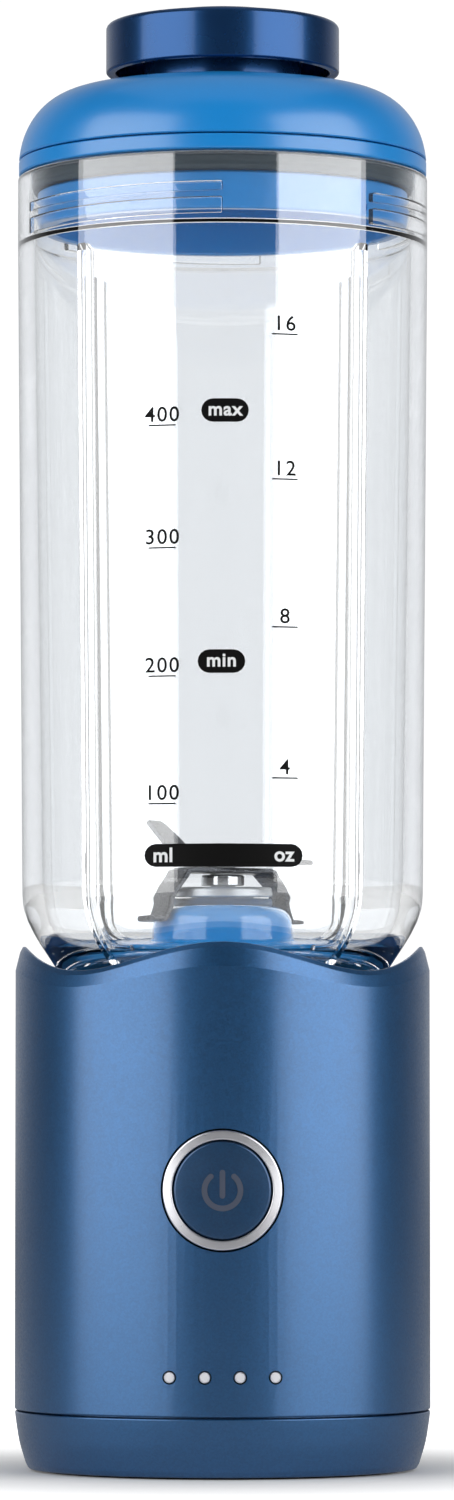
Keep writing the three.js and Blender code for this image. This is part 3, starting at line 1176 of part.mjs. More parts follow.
function screwCap() {
  const outerBore = CAP_RADIUS - CAP_WALL;
  const crown = CAP_RADIUS - CROWN_INSET;
  const shell = turned([
    [0, CAP_PLATE_BOTTOM],
    [CAP_SKIRT_BORE, CAP_PLATE_BOTTOM],
    [CAP_SKIRT_BORE, CAP_SKIRT_BOTTOM],
    [CAP_SKIRT_RADIUS, CAP_SKIRT_BOTTOM],
    [CAP_SKIRT_RADIUS, CAP_PLATE_BOTTOM],
    [outerBore, CAP_PLATE_BOTTOM],
    [outerBore, CAP_BOTTOM],
    [CAP_RADIUS - CAP_EDGE / 3, CAP_BOTTOM],
    [CAP_RADIUS, CAP_BOTTOM + CAP_EDGE / 3],
    [CAP_RADIUS, CAP_TOP - CAP_EDGE],
    [CAP_RADIUS - CAP_EDGE / 3, CAP_TOP - CAP_EDGE / 3],
    [CAP_RADIUS - CAP_EDGE, CAP_TOP],
    [crown, CAP_TOP + CROWN_HEIGHT / 4],
    [crown - CROWN_ROUND / 3, CAP_TOP + CROWN_HEIGHT * (3 / 4)],
    [crown - CROWN_ROUND, CAP_TOP + CROWN_HEIGHT],
    [0, CAP_TOP + CROWN_HEIGHT],
  ], MIDDLE);
  const threadBottom = (DOME_TOP + SPOUT_TOP) / 2 - CAP_RIDGE_PITCH / 2;
  const thread = ridges(
    CAP_SKIRT_BORE - CAP_RIDGE_REACH, CAP_SKIRT_BORE + CAP_SKIRT_WALL / 2, threadBottom, capThread, 0);
  return join(shell, ...thread);
}

const capSeal = () =>
  disc(CAP_SKIRT_BORE - RUNNING_GAP, CAP_SEAL_BOTTOM, CAP_SEAL_BOTTOM + CAP_SEAL_HEIGHT, MIDDLE);

// ---------- Assembly ----------

function piece(name, geometry, material) {
  const mesh = new THREE.Mesh(geometry, material);
  mesh.name = name;
  return mesh;
}

function unit(...pieces) {
  const group = new THREE.Group();
  group.add(...pieces);
  return group;
}

const base = unit(
  piece('housing', housing(), bluePaint()),
  piece('bottom_cover', bottomCover(), bluePaint()),
  piece('foot_ring', footRing(), blackRubber()),
  ...screwSpots().map((_, i) => piece(`cover_screw_${i + 1}`, coverScrew(i), steel())),
  piece('battery_tray', batteryTray(), blackPlastic()),
  ...cellSpots.map((x, i) => piece(`battery_cell_${i + 1}`, batteryCell(x), cellWrap())),
  piece('cup_socket', cupSocket(), blackPlastic()),
  piece('splash_seal', splashSeal(), blackRubber()),
  piece('cup_sensor', cupSensor(), blackPlastic()),
  piece('control_board', controlBoard(), boardGreen()),
  piece('power_switch', powerSwitch(), blackPlastic()),
  piece('light_guide', lightGuide(), whitePlastic()),
  piece('button_ring', buttonRing(), silver()),
  piece('charge_board', chargeBoard(), boardGreen()),
  piece('charge_port', chargePort(), steel()),
);

const motor = unit(
  piece('motor_mount', motorMount(), greyPlastic()),
  ...motorScrewSpots.map((_, i) => piece(`motor_screw_${i + 1}`, motorScrew(i), steel())),
  piece('motor_can', motorCan(), steel()),
  piece('motor_end_cap', motorEndCap(), blackPlastic()),
  piece('motor_magnet_1', magnet(0), magnetGrey()),
  piece('motor_magnet_2', magnet(180), magnetGrey()),
  piece('motor_brush_1', brush(1), magnetGrey()),
  piece('motor_brush_2', brush(-1), magnetGrey()),
  piece('lower_bearing', bearing(END_CAP_BOTTOM + GAP), steel()),
  piece('upper_bearing', bearing(MOTOR_TOP - BEARING_WIDTH - GAP), steel()),
);

const rotor = unit(
  piece('motor_shaft', motorShaft(), steel()),
  piece('armature_core', armatureCore(), magnetGrey()),
  piece('armature_winding', armatureWinding(), copper()),
  piece('commutator', commutator(), copper()),
  piece('drive_coupling', driveCoupling(), blackPlastic()),
);

const bladeUnit = unit(
  piece('blade_shaft', bladeShaft(), steel()),
  piece('driven_coupling', drivenCoupling(), blackPlastic()),
  piece('blade_spacer', bladeSpacer(), silver()),
  piece('lower_blade', lowerBlade(), silver()),
  piece('upper_blade', upperBlade(), silver()),
  piece('blade_nut', bladeNut(), silver()),
);

const cupUnit = unit(
  piece('cup', cup(), clearPlastic()),
  piece('blade_holder', bladeHolder(), hubBlue()),
  piece('holder_gasket', holderGasket(), greyRubber()),
  piece('holder_nut', holderNut(), blackPlastic()),
  piece('lower_bush', bush(LOWER_BUSH_BOTTOM), brass()),
  piece('upper_bush', bush(UPPER_BUSH_BOTTOM), brass()),
  piece('shaft_seal', shaftSeal(), blackRubber()),
  piece('seal_cap', sealCap(), silver()),
  piece('trigger_magnet', triggerMagnet(), steel()),
);

const lidUnit = unit(
  piece('lid_collar', lidCollar(), lidBlue()),
  piece('lid_seal', lidSeal(), greyRubber()),
  piece('lid_dome', lidDome(), lidBlue()),
  piece('cap_seal', capSeal(), greyRubber()),
  piece('screw_cap', screwCap(), capNavy()),
);

const blender = unit(
  base,
  motor,
  rotor,
  unit(piece('power_button', powerButton(), bluePaint())),
  unit(piece('port_cover', portCover(), blackRubber())),
  cupUnit,
  bladeUnit,
  lidUnit,
);

export default blender;
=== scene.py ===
import math

import bmesh
import bpy
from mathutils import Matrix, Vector


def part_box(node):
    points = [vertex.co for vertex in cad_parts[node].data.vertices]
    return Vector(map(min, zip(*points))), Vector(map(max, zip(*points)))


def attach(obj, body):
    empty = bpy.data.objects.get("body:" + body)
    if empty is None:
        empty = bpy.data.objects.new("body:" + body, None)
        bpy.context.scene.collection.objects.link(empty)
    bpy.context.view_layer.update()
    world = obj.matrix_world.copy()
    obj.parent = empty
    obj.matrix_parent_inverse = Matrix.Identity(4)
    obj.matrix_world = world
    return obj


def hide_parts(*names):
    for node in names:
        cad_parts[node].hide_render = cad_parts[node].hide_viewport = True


bl_info = {
    "name": "Personal Blender",
    "version": (1, 0, 0),
    "blender": (4, 5, 0),
    "location": "3D View > Sidebar > Blender",
    "description": "Models a cordless personal blender round its packed CAD frame",
    "category": "Object",
}

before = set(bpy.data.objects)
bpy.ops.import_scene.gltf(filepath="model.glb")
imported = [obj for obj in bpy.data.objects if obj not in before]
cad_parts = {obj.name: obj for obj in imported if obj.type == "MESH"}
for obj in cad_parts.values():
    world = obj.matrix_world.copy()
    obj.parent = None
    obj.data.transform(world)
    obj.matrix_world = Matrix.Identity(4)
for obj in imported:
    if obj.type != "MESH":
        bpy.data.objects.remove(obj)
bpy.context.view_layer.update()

MM = 0.001
SIDES = 144
POLE = 0.002  # ring that closes a turned piece on the axis
GAP = 0.3  # joint line between two neighbouring pieces
RIM_WAVE = 2.7  # from the rim's middle up to its crest
FOOT_DEPTH = 6.1  # from the cup's foot up to the underside of its floor
FLOOR_THICK = 4.7
CORNER_START = 24.5  # radius where the cup's inner corner leaves the floor
CORNER_WIDTH = 11.6
CORNER_HEIGHT = 15.5
BORE_LOW, BORE_HIGH = 36.1, 37.98  # the cup's bore at its corner and under its thread
THREAD_DEPTH = 14  # from the cup's mouth down to the bore under its thread
THREAD_TURN = -126  # where the first of three thread starts is
PRINT_LOW, PRINT_RANGE, PRINT_RADIUS = 118, 128, 40.2  # the printed wall's foot, height and radius
SPOUT_RISE = 9.5
CROWN_RISE = 1.9
DOT_PITCH = 6.87
SHAFT_HOLE = 2.8  # radius of the hole in each blade, the spacer and the nut
BLADE_THICK, BLADE_HALF, BLADE_DROP = 1.1, 4.1, 8.7
CAMERA_PLACE, CAMERA_TILT = (0.00088, -1.304, 0.0699), 93.25
WELD = 0.000004


def span(node):
    """A CAD node's reach from the axis, lowest and highest height, in millimetres."""
    low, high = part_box(node)
    return high.x / MM, low.z / MM, high.z / MM


BASE_RADIUS, HOUSING_BOTTOM, RIM_CREST = span("housing")
_, COVER_BOTTOM, COVER_LIP_TOP = span("bottom_cover")
FOOT_RADIUS, _, FOOT_TOP = span("foot_ring")
RING_RADIUS, RING_BOTTOM, RING_TOP = span("button_ring")
FLAP_HALF, FLAP_BOTTOM, FLAP_TOP = span("port_cover")
CUP_RADIUS, CUP_FOOT, CUP_TOP = span("cup")
FLANGE_RADIUS, STEM_BOTTOM, HUB_TOP = span("blade_holder")
WASHER_RADIUS, WASHER_BOTTOM, WASHER_TOP = span("seal_cap")
SPACER_RADIUS, SPACER_BOTTOM, SPACER_TOP = span("blade_spacer")
_, _, LOWER_BLADE_TOP = span("lower_blade")
_, UPPER_BLADE_BOTTOM, _ = span("upper_blade")
_, NUT_BOTTOM, NUT_TOP = span("blade_nut")
BAND_RADIUS, SKIRT_BOTTOM, COLLAR_LIP_TOP = span("lid_collar")
SEAL_RADIUS, SEAL_BOTTOM, SEAL_TOP = span("lid_seal")
_, DOME_BOTTOM, SPOUT_TOP = span("lid_dome")
CAP_RADIUS, CAP_SKIRT_BOTTOM, CROWN_TOP = span("screw_cap")
_, DOT_BOTTOM, DOT_TOP = span("light_guide")

BUTTON_Z = (RING_BOTTOM + RING_TOP) / 2
DOT_Z = (DOT_BOTTOM + DOT_TOP) / 2
RIM_MIDDLE = RIM_CREST - RIM_WAVE
CUP_FLOOR = CUP_FOOT + FOOT_DEPTH
BAND_BOTTOM = CUP_TOP + GAP
DOME_TOP = SPOUT_TOP - SPOUT_RISE
CAP_TOP = CROWN_TOP - CROWN_RISE


# ---------- Settings ----------


def colour(label, about, value):
    return bpy.props.FloatVectorProperty(
        name=label, description=about, default=value, size=3, min=0, max=1, subtype="COLOR"
    )


def length(label, about, value):
    return bpy.props.FloatProperty(name=label, description=about, default=value, min=0, unit="LENGTH")


def level(label, about, value, **more):
    return bpy.props.FloatProperty(name=label, description=about, default=value, **more)


class BlenderColours(bpy.types.PropertyGroup):
    paint: colour("Base paint", "Metallic paint of the motor base", (0.012, 0.105, 0.28))
    lid: colour("Lid", "Moulded plastic of the lid", (0.0, 0.24, 0.66))
    hub: colour("Hub", "Glossy plastic of the blade holder", (0.03, 0.3, 0.72))
    cap: colour("Cap", "Dark plastic of the screw cap", (0.011, 0.068, 0.21))
    seal: colour("Seal", "Silicone of the lid and cap seals", (0.03, 0.05, 0.066))
    steel: colour("Steel", "Blades, washer and screws", (0.62, 0.64, 0.66))
    silver: colour("Silver ring", "Trim ring round the power button", (0.86, 0.86, 0.9))
    clear: colour("Clear plastic", "Tint of the cup", (0.975, 0.985, 0.99))
    print: colour("Scale print", "Ink of the cup's scale", (0.004, 0.004, 0.004))


class BlenderSizes(bpy.types.PropertyGroup):
    wave: length("Rim wave", "Height from the rim's trough to its middle", RIM_WAVE * MM)
    bevel: length("Rim bevel", "Height of the bevelled band at the rim", 4.0 * MM)
    edge: length("Moulded edge", "Rounding of the moulded edges", 0.35 * MM)
    rib: length("Rib width", "Width of the upright ribs in the cup", 2.3 * MM)
    ink: length("Ink", "Thickness of the printed scale", 0.03 * MM)


class BlenderStage(bpy.types.PropertyGroup):
    panel_power: level("Softbox power", "Power of each tall softbox", 15, min=0, unit="POWER")
    top_power: level("Top light power", "Power of the overhead softbox", 2, min=0, unit="POWER")
    backdrop: level("Backdrop", "Brightness of the pale backdrop", 1.05, min=0)
    wall: level("Wall", "Brightness of the wall behind in reflections", 0.5, min=0)
    through: level("Through", "How much brighter the wall is through clear pieces", 1.35, min=0)
    room: level("Room", "Brightness of the unlit room in reflections", 0.08, min=0)
    lens: level("Lens", "Focal length in mm", 156, min=1)


def colours():
    return bpy.context.scene.blender_colours


def sizes():
    return bpy.context.scene.blender_sizes


# ---------- Shaping ----------


def clear_selection():
    if bpy.context.mode != "OBJECT":
        bpy.ops.object.mode_set(mode="OBJECT")
    bpy.ops.object.select_all(action="DESELECT")


def only(obj):
    clear_selection()
    obj.select_set(True)
    bpy.context.view_layer.objects.active = obj


def named(name):
    obj = bpy.context.object
    obj.name = name
    obj.data.name = name
    return obj


def apply_place(obj):
    only(obj)
    bpy.ops.object.transform_apply(location=True, rotation=True, scale=True)


def raised(obj, height):
    obj.location.z = height * MM
    apply_place(obj)


def apply_modifier(obj, kind, **values):
    modifier = obj.modifiers.new(name="Shape", type=kind)
    for key, value in values.items():
        setattr(modifier, key, value)
    only(obj)
    bpy.ops.object.modifier_apply(modifier=modifier.name)


def weld(obj):
    """Merges doubled corners and turns every face outwards."""
    only(obj)
    bpy.ops.object.mode_set(mode="EDIT")
    bpy.ops.mesh.select_all(action="SELECT")
    bpy.ops.mesh.remove_doubles(threshold=WELD)
    bpy.ops.mesh.normals_make_consistent(inside=False)
    bpy.ops.object.mode_set(mode="OBJECT")


def rounded(*corners, steps=5):
    """An outline whose (radius, height, rounding) corners are turned into arcs."""
    points = []
    for i, corner in enumerate(corners):
        here = Vector(corner[:2])
        rounding = corner[2] if len(corner) > 2 else 0
        if not rounding:
            points.append(tuple(here))
            continue
        to_last = (Vector(corners[i - 1][:2]) - here).normalized()
        to_next = (Vector(corners[(i + 1) % len(corners)][:2]) - here).normalized()
        half = to_last.angle(to_next) / 2
        first = here + to_last * rounding / math.tan(half)
        last = here + to_next * rounding / math.tan(half)
        centre = here + (to_last + to_next).normalized() * rounding / math.sin(half)
        for step in range(steps + 1):
            spoke = (first - centre).lerp(last - centre, step / steps).normalized() * rounding
            points.append(tuple(centre + spoke))
    return points


def turned(name, outline, closed=False, sides=SIDES):
    """A piece turned about Z from (radius, height) points; a closed outline makes a ring."""
    clear_selection()
    points = [(max(radius, POLE), height) for radius, height in outline]
    radius, height = points[0]
    start = (0, 0, height * MM)
    bpy.ops.mesh.primitive_circle_add(vertices=sides, radius=radius * MM, location=start)
    obj = named(name)
    bpy.ops.object.mode_set(mode="EDIT")
    bpy.ops.mesh.select_all(action="SELECT")
    for next_radius, next_height in points[1:] + points[: 1 if closed else 0]:
        rise = (next_height - height) * MM
        bpy.ops.mesh.extrude_region_move(TRANSFORM_OT_translate={"value": (0, 0, rise)})
        share = next_radius / radius
        bpy.ops.transform.resize(value=(share, share, 1), center_override=(0, 0, next_height * MM))
        radius, height = next_radius, next_height
    weld(obj)
    apply_place(obj)
    return obj


def plate(name, outline, thickness):
    """A flat plate in the XY plane from (x, y) points, standing on z = 0."""
    clear_selection()
    bpy.ops.mesh.primitive_circle_add(vertices=len(outline), radius=0.01, fill_type="NGON")
    obj = named(name)
    for corner, (x, y) in zip(obj.data.vertices, outline):
        corner.co = (x * MM, y * MM, 0)
    bpy.ops.object.mode_set(mode="EDIT")
    bpy.ops.mesh.select_all(action="SELECT")
    bpy.ops.mesh.extrude_region_move(TRANSFORM_OT_translate={"value": (0, 0, thickness * MM)})
    weld(obj)
    return obj


def slices(obj, axis, step, reach):
    """Cuts the piece across an axis at even steps, so that it can follow a curve."""
    only(obj)
    bpy.ops.object.mode_set(mode="EDIT")
    normal = [float(k == axis) for k in range(3)]
    count = int(reach / step)
    for i in range(-count, count + 1):
        place = [i * step * MM if k == axis else 0 for k in range(3)]
        bpy.ops.mesh.select_all(action="SELECT")
        bpy.ops.mesh.bisect(plane_co=place, plane_no=normal)
    bpy.ops.object.mode_set(mode="OBJECT")


def combine(obj, tool, operation):
    apply_modifier(obj, "BOOLEAN", operation=operation, object=tool, solver="EXACT")
    bpy.data.objects.remove(tool)
    return obj


def joined(objs):
    clear_selection()
    for obj in objs:
        obj.select_set(True)
    bpy.context.view_layer.objects.active = objs[0]
    bpy.ops.object.join()
    return objs[0]


def copied(obj, degrees):
    """A copy with its own mesh, turned about Z."""
    only(obj)
    bpy.ops.object.duplicate()
    copy = bpy.context.object
    copy.rotation_euler.z = math.radians(degrees)
    apply_place(copy)
    return copy


def around(obj, count, start=0.0):
    """The piece and its copies at equal turns, as one object."""
    copies = [copied(obj, start + 360 * i / count) for i in range(count)]
    bpy.data.objects.remove(obj)
    return joined(copies)


def add_round(obj, tool, count, start=0.0):
    """Joins a piece and its copies at equal turns onto another."""
    combine(obj, around(tool, count, start), "UNION")


def face_wall(obj, height, radius, back=False):
    """Stands a piece that lies in the XY plane up against the round wall and bends it to it."""
    obj.rotation_euler = (math.radians(90), 0, math.radians(180 if back else 0))
    obj.location = (0, (radius if back else -radius) * MM, height * MM)
    apply_place(obj)
    for corner in obj.data.vertices:
        sink = radius - math.sqrt(radius**2 - (corner.co.x / MM) ** 2)
        corner.co.y -= math.copysign(sink * MM, corner.co.y)


def pill(x, y, width, height, steps=8):
    """Outline of a bar with round ends, centred on x and y."""
    end = height / 2
    reach = width / 2 - end
    points = []
    for side in (1, -1):
        for i in range(steps + 1):
            angle = math.pi * i / steps - math.pi / 2
            across = side * (reach + end * math.cos(angle))
            points.append((x + across, y + side * end * math.sin(angle)))
    return points


def rounded_box(width, height, rounding):
    signs = ((-1, -1), (1, -1), (1, 1), (-1, 1))
    return rounded(*[(x * width / 2, y * height / 2, rounding) for x, y in signs])


def on_arc(radius, angles):
    return [(radius * math.cos(a), radius * math.sin(a)) for a in angles]


def ridge(name, inner, outer, height, degrees, lead, steps=28):
    """A thread ridge: a bar bent round the axis that climbs as it goes."""
    sweep = [math.radians(degrees * (i / steps - 0.5)) for i in range(steps + 1)]
    obj = plate(name, on_arc(outer, sweep) + on_arc(inner, reversed(sweep)), height)
    for corner in obj.data.vertices:
        corner.co.z += lead * MM * math.atan2(corner.co.y, corner.co.x) / math.tau
    return obj


def bevelled(obj, width, degrees, segments=2):
    """Bevels the edges sharper than an angle."""
    values = {"width": width * MM, "segments": segments}
    apply_modifier(obj, "BEVEL", limit_method="ANGLE", angle_limit=math.radians(degrees), **values)


def finished(obj, body, slot, finish, *nodes, crease=30.0):
    """Smooths a piece, gives it its material, ties it to its body and hides its CAD nodes; the slot is not
    used.
    """
    apply_place(obj)
    bpy.ops.object.shade_smooth_by_angle(angle=math.radians(crease))
    apply_modifier(obj, "WEIGHTED_NORMAL", keep_sharp=True)
    obj.data.materials.clear()
    obj.data.materials.append(FINISHES[finish]())
    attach(obj, body)
    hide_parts(*nodes)
    return obj


# ---------- Materials ----------


def new_group(name, **inputs):
    """A node group that turns its inputs into a colour, a roughness and a height."""
    group = bpy.data.node_groups.new(name, "ShaderNodeTree")
    for label, value in inputs.items():
        kind = "NodeSocketColor" if isinstance(value, tuple) else "NodeSocketFloat"
        socket = group.interface.new_socket(name=label.replace("_", " "), in_out="INPUT", socket_type=kind)
        socket.default_value = value
    for label, kind in (("Colour", "Color"), ("Roughness", "Float"), ("Height", "Float")):
        group.interface.new_socket(name=label, in_out="OUTPUT", socket_type=f"NodeSocket{kind}")
    nodes = group.nodes
    return group, nodes.new("NodeGroupInput"), nodes.new("NodeGroupOutput")


def math_node(tree, operation, first, second):
    node = tree.nodes.new("ShaderNodeMath")
    node.operation = operation
    for socket, value in zip(node.inputs, (first, second)):
        if isinstance(value, (int, float)):
            socket.default_value = value
        else:
            tree.links.new(value, socket)
    return node.outputs[0]


def swung(tree, value, middle, gain):
    """How far a value is from its middle, times a gain."""
    return math_node(tree, "MULTIPLY", math_node(tree, "SUBTRACT", value, middle), gain)


def noise(tree, place, scale, detail=2.0):
    node = tree.nodes.new("ShaderNodeTexNoise")
    node.inputs["Detail"].default_value = detail
    tree.links.new(place, node.inputs["Vector"])
    if isinstance(scale, (int, float)):
        node.inputs["Scale"].default_value = scale
    else:
        tree.links.new(scale, node.inputs["Scale"])
    return node.outputs["Fac"]


def shade(tree, base, factor):
    """The base colour multiplied by a factor."""
    node = tree.nodes.new("ShaderNodeVectorMath")
    node.operation = "SCALE"
    tree.links.new(base, node.inputs[0])
    tree.links.new(factor, node.inputs["Scale"])
    return node.outputs[0]


def moulded_group():
    """Moulded plastic: fine spark texture, slow cloudy shade, and handling smudges in the gloss."""
    name = "Moulded Surface"
    if name in bpy.data.node_groups:
        return bpy.data.node_groups[name]
    group, into, out = new_group(
        name,
        Colour=(0.5, 0.5, 0.5, 1),
        Shade=0.06,
        Grain_Scale=2500.0,
        Roughness=0.4,
        Spread=0.08,
    )
    place = group.nodes.new("ShaderNodeTexCoord").outputs["Object"]
    grain = noise(group, place, into.outputs["Grain Scale"])
    cloud = noise(group, place, 45.0, 3.0)
    smudge = noise(group, place, 160.0, 4.0)
    shift = swung(group, math_node(group, "ADD", grain, cloud), 1.0, into.outputs["Shade"])
    tint = shade(group, into.outputs["Colour"], math_node(group, "ADD", shift, 1.0))
    swing = swung(group, smudge, 0.5, into.outputs["Spread"])
    group.links.new(tint, out.inputs["Colour"])
    group.links.new(math_node(group, "ADD", into.outputs["Roughness"], swing), out.inputs["Roughness"])
    group.links.new(grain, out.inputs["Height"])
    return group


def flake_group():
    """Metallic paint: tiny flakes that catch the light one by one, over a slow drift in depth."""
    name = "Paint Flake"
    if name in bpy.data.node_groups:
        return bpy.data.node_groups[name]
    group, into, out = new_group(
        name,
        Colour=(0.1, 0.2, 0.4, 1),
        Flake_Scale=2600.0,
        Sparkle=0.3,
        Roughness=0.35,
    )
    place = group.nodes.new("ShaderNodeTexCoord").outputs["Object"]
    cells = group.nodes.new("ShaderNodeTexVoronoi")
    group.links.new(place, cells.inputs["Vector"])
    group.links.new(into.outputs["Flake Scale"], cells.inputs["Scale"])
    split = group.nodes.new("ShaderNodeSeparateColor")
    group.links.new(cells.outputs["Color"], split.inputs[0])
    drift = noise(group, place, 60.0, 4.0)
    flake = math_node(group, "SUBTRACT", split.outputs[0], 0.5)
    both = math_node(group, "ADD", flake, swung(group, drift, 0.5, 0.6))
    sparkle = math_node(group, "MULTIPLY", both, into.outputs["Sparkle"])
    tint = shade(group, into.outputs["Colour"], math_node(group, "ADD", sparkle, 1.0))
    uneven = swung(group, split.outputs[1], 0.5, 0.12)
    rough = math_node(group, "ADD", into.outputs["Roughness"], uneven)
    group.links.new(tint, out.inputs["Colour"])
    group.links.new(rough, out.inputs["Roughness"])
    group.links.new(split.outputs[2], out.inputs["Height"])
    return group


def brushed_group():
    """Metal with fine drawn lines along one direction and faint cloudiness."""
    name = "Brushed Metal"
    if name in bpy.data.node_groups:
        return bpy.data.node_groups[name]
    group, into, out = new_group(
        name,
        Colour=(0.6, 0.6, 0.6, 1),
        Shade=0.15,
        Line_Scale=3500.0,
        Roughness=0.25,
        Spread=0.12,
    )
    place = group.nodes.new("ShaderNodeTexCoord").outputs["Object"]
    stretch = group.nodes.new("ShaderNodeMapping")
    stretch.inputs["Scale"].default_value = (0.04, 1, 1)
    group.links.new(place, stretch.inputs["Vector"])
    lines = noise(group, stretch.outputs[0], into.outputs["Line Scale"], 3.0)
    cloud = noise(group, place, 180.0, 3.0)
    shift = swung(group, math_node(group, "ADD", lines, cloud), 1.0, into.outputs["Shade"])
    swing = swung(group, lines, 0.5, into.outputs["Spread"])
    tint = shade(group, into.outputs["Colour"], math_node(group, "ADD", shift, 1.0))
    group.links.new(tint, out.inputs["Colour"])
    group.links.new(math_node(group, "ADD", into.outputs["Roughness"], swing), out.inputs["Roughness"])
    group.links.new(lines, out.inputs["Height"])
    return group


def surface(name, group, values, bump, plain):
    """A material whose group feeds colour, roughness and a fine bump; plain values sit on the shader."""
    if name in bpy.data.materials:
        return bpy.data.materials[name]
    made = bpy.data.materials.new(name)
    made.use_nodes = True
    tree = made.node_tree
    shader = tree.nodes["Principled BSDF"]
    effect = tree.nodes.new("ShaderNodeGroup")
    effect.node_tree = group
    for label, value in values.items():
        effect.inputs[label].default_value = (*value, 1) if label == "Colour" else value
    tree.links.new(effect.outputs["Colour"], shader.inputs["Base Color"])
    tree.links.new(effect.outputs["Roughness"], shader.inputs["Roughness"])
    relief = tree.nodes.new("ShaderNodeBump")
    relief.inputs["Strength"].default_value = bump[0]
    relief.inputs["Distance"].default_value = bump[1] * MM
    tree.links.new(effect.outputs["Height"], relief.inputs["Height"])
    tree.links.new(relief.outputs["Normal"], shader.inputs["Normal"])
    for label, value in plain.items():
        shader.inputs[label].default_value = value
    return made


def plastic(name, tint, roughness, grain=2500.0, mottle=0.08, relief=(0.12, 0.02), **plain):
    values = {"Colour": tint, "Shade": mottle, "Grain Scale": grain, "Roughness": roughness}
    on_shader = {label.replace("_", " "): value for label, value in plain.items()}
    return surface(name, moulded_group(), values, relief, on_shader)


def metal(name, tint, roughness, lines=3500.0, mottle=0.15, spread=0.12):
    values = {"Colour": tint, "Shade": mottle, "Line Scale": lines}
    values |= {"Roughness": roughness, "Spread": spread}
    return surface(name, brushed_group(), values, (0.1, 0.01), {"Metallic": 1.0})


def paint(name, tint, roughness):
    values = {"Colour": tint, "Flake Scale": 3000.0, "Sparkle": 0.2, "Roughness": roughness}
    plain = {"Metallic": 0.85, "Coat Weight": 0.65, "Coat Roughness": 0.25, "Coat IOR": 1.8}
    return surface(name, flake_group(), values, (0.06, 0.01), plain)


def clear_plastic():
    """Clear moulded plastic. Lamps shine through it, as they do through a thin clear wall."""
    name = "clear plastic"
    if name in bpy.data.materials:
        return bpy.data.materials[name]
    plain = {"Transmission Weight": 1.0, "IOR": 1.49}
    plain |= {"Coat Weight": 1.0, "Coat IOR": 1.7, "Coat Roughness": 0.03}
    values = {"Colour": colours().clear, "Shade": 0.015, "Grain Scale": 900.0}
    values |= {"Roughness": 0.02, "Spread": 0.03}
    made = surface(name, moulded_group(), values, (0.02, 0.02), plain)
    tree = made.node_tree
    shader = tree.nodes["Principled BSDF"]
    through = tree.nodes.new("ShaderNodeBsdfTransparent")
    through.inputs["Color"].default_value = (0.88, 0.9, 0.91, 1)
    rays = tree.nodes.new("ShaderNodeLightPath")
    mix = tree.nodes.new("ShaderNodeMixShader")
    tree.links.new(rays.outputs["Is Shadow Ray"], mix.inputs[0])
    tree.links.new(shader.outputs[0], mix.inputs[1])
    tree.links.new(through.outputs[0], mix.inputs[2])
    tree.links.new(mix.outputs[0], tree.nodes["Material Output"].inputs["Surface"])
    return made


FINISHES = {
    "paint": lambda: paint("base paint", colours().paint, 0.36),
    "button paint": lambda: paint("button paint", tuple(0.6 * v for v in colours().paint), 0.42),
    "lid": lambda: plastic(
        "lid plastic", colours().lid, 0.34, Coat_Weight=0.6, Coat_Roughness=0.24, Coat_IOR=1.75
    ),
    "hub": lambda: plastic(
        "hub plastic", colours().hub, 0.16, 1200.0, 0.05, (0.04, 0.02),
        Coat_Weight=1.0, Coat_Roughness=0.08, Coat_IOR=1.6,
    ),
    "cap": lambda: plastic(
        "cap plastic", colours().cap, 0.27, Metallic=0.8, Coat_Weight=0.4, Coat_Roughness=0.12
    ),
    "seal": lambda: plastic("seal silicone", colours().seal, 0.55, 1800.0, 0.15, (0.2, 0.03)),
    "rubber": lambda: plastic("foot rubber", (0.02, 0.02, 0.021), 0.75, 1500.0, 0.25, (0.4, 0.05)),
    "black": lambda: plastic("black plastic", (0.018, 0.019, 0.021), 0.45, 1800.0, 0.2, (0.25, 0.03)),
    "grey": lambda: plastic("grey plastic", (0.11, 0.12, 0.13), 0.5, 1800.0, 0.15, (0.25, 0.03)),
    "ink": lambda: plastic(
        "scale ink", colours().print, 0.5, 4000.0, 0.2, (0.1, 0.01), Specular_IOR_Level=0.1
    ),
    "white ink": lambda: plastic("letter ink", (0.85, 0.86, 0.87), 0.4, 4000.0, 0.05, (0.1, 0.01)),
    "icon": lambda: plastic("icon ink", (0.06, 0.075, 0.115), 0.5, 4000.0, 0.12, (0.1, 0.01)),
    "light pipe": lambda: plastic("light pipe", (0.82, 0.82, 0.85), 0.3, 1500.0, 0.05, (0.1, 0.02)),
    "board": lambda: plastic("circuit board", (0.012, 0.09, 0.04), 0.35, 600.0, 0.5, (0.3, 0.05)),
    "wrap": lambda: plastic("cell wrap", (0.03, 0.16, 0.26), 0.3, 500.0, 0.12, (0.15, 0.03)),
    "magnet": lambda: plastic("magnet", (0.05, 0.052, 0.056), 0.5, 1500.0, 0.3, (0.4, 0.04), Metallic=0.5),
    "silver": lambda: metal("silver trim", colours().silver, 0.3, 2500.0, 0.06),
    "steel": lambda: metal("steel", colours().steel, 0.28),
    "chrome": lambda: metal("chromed steel", colours().steel, 0.12, 2500.0, 0.12, 0.1),
    # blade steel: the steel darkened to about a tenth, painted shade and dim reflection for the blades and
    # nut inside the cup
    "blade": lambda: metal("blade steel", (0.07, 0.074, 0.082), 0.28, 2500.0, 0.2, 0.1),
    "copper": lambda: metal("copper", (0.55, 0.2, 0.08), 0.3, 1200.0, 0.35),
    "brass": lambda: metal("brass", (0.6, 0.42, 0.12), 0.3, 1500.0, 0.2),
    "clear": clear_plastic,
}


# ---------- Base ----------


def rim_wave(angle):
    return sizes().wave / MM * math.cos(4 * angle)


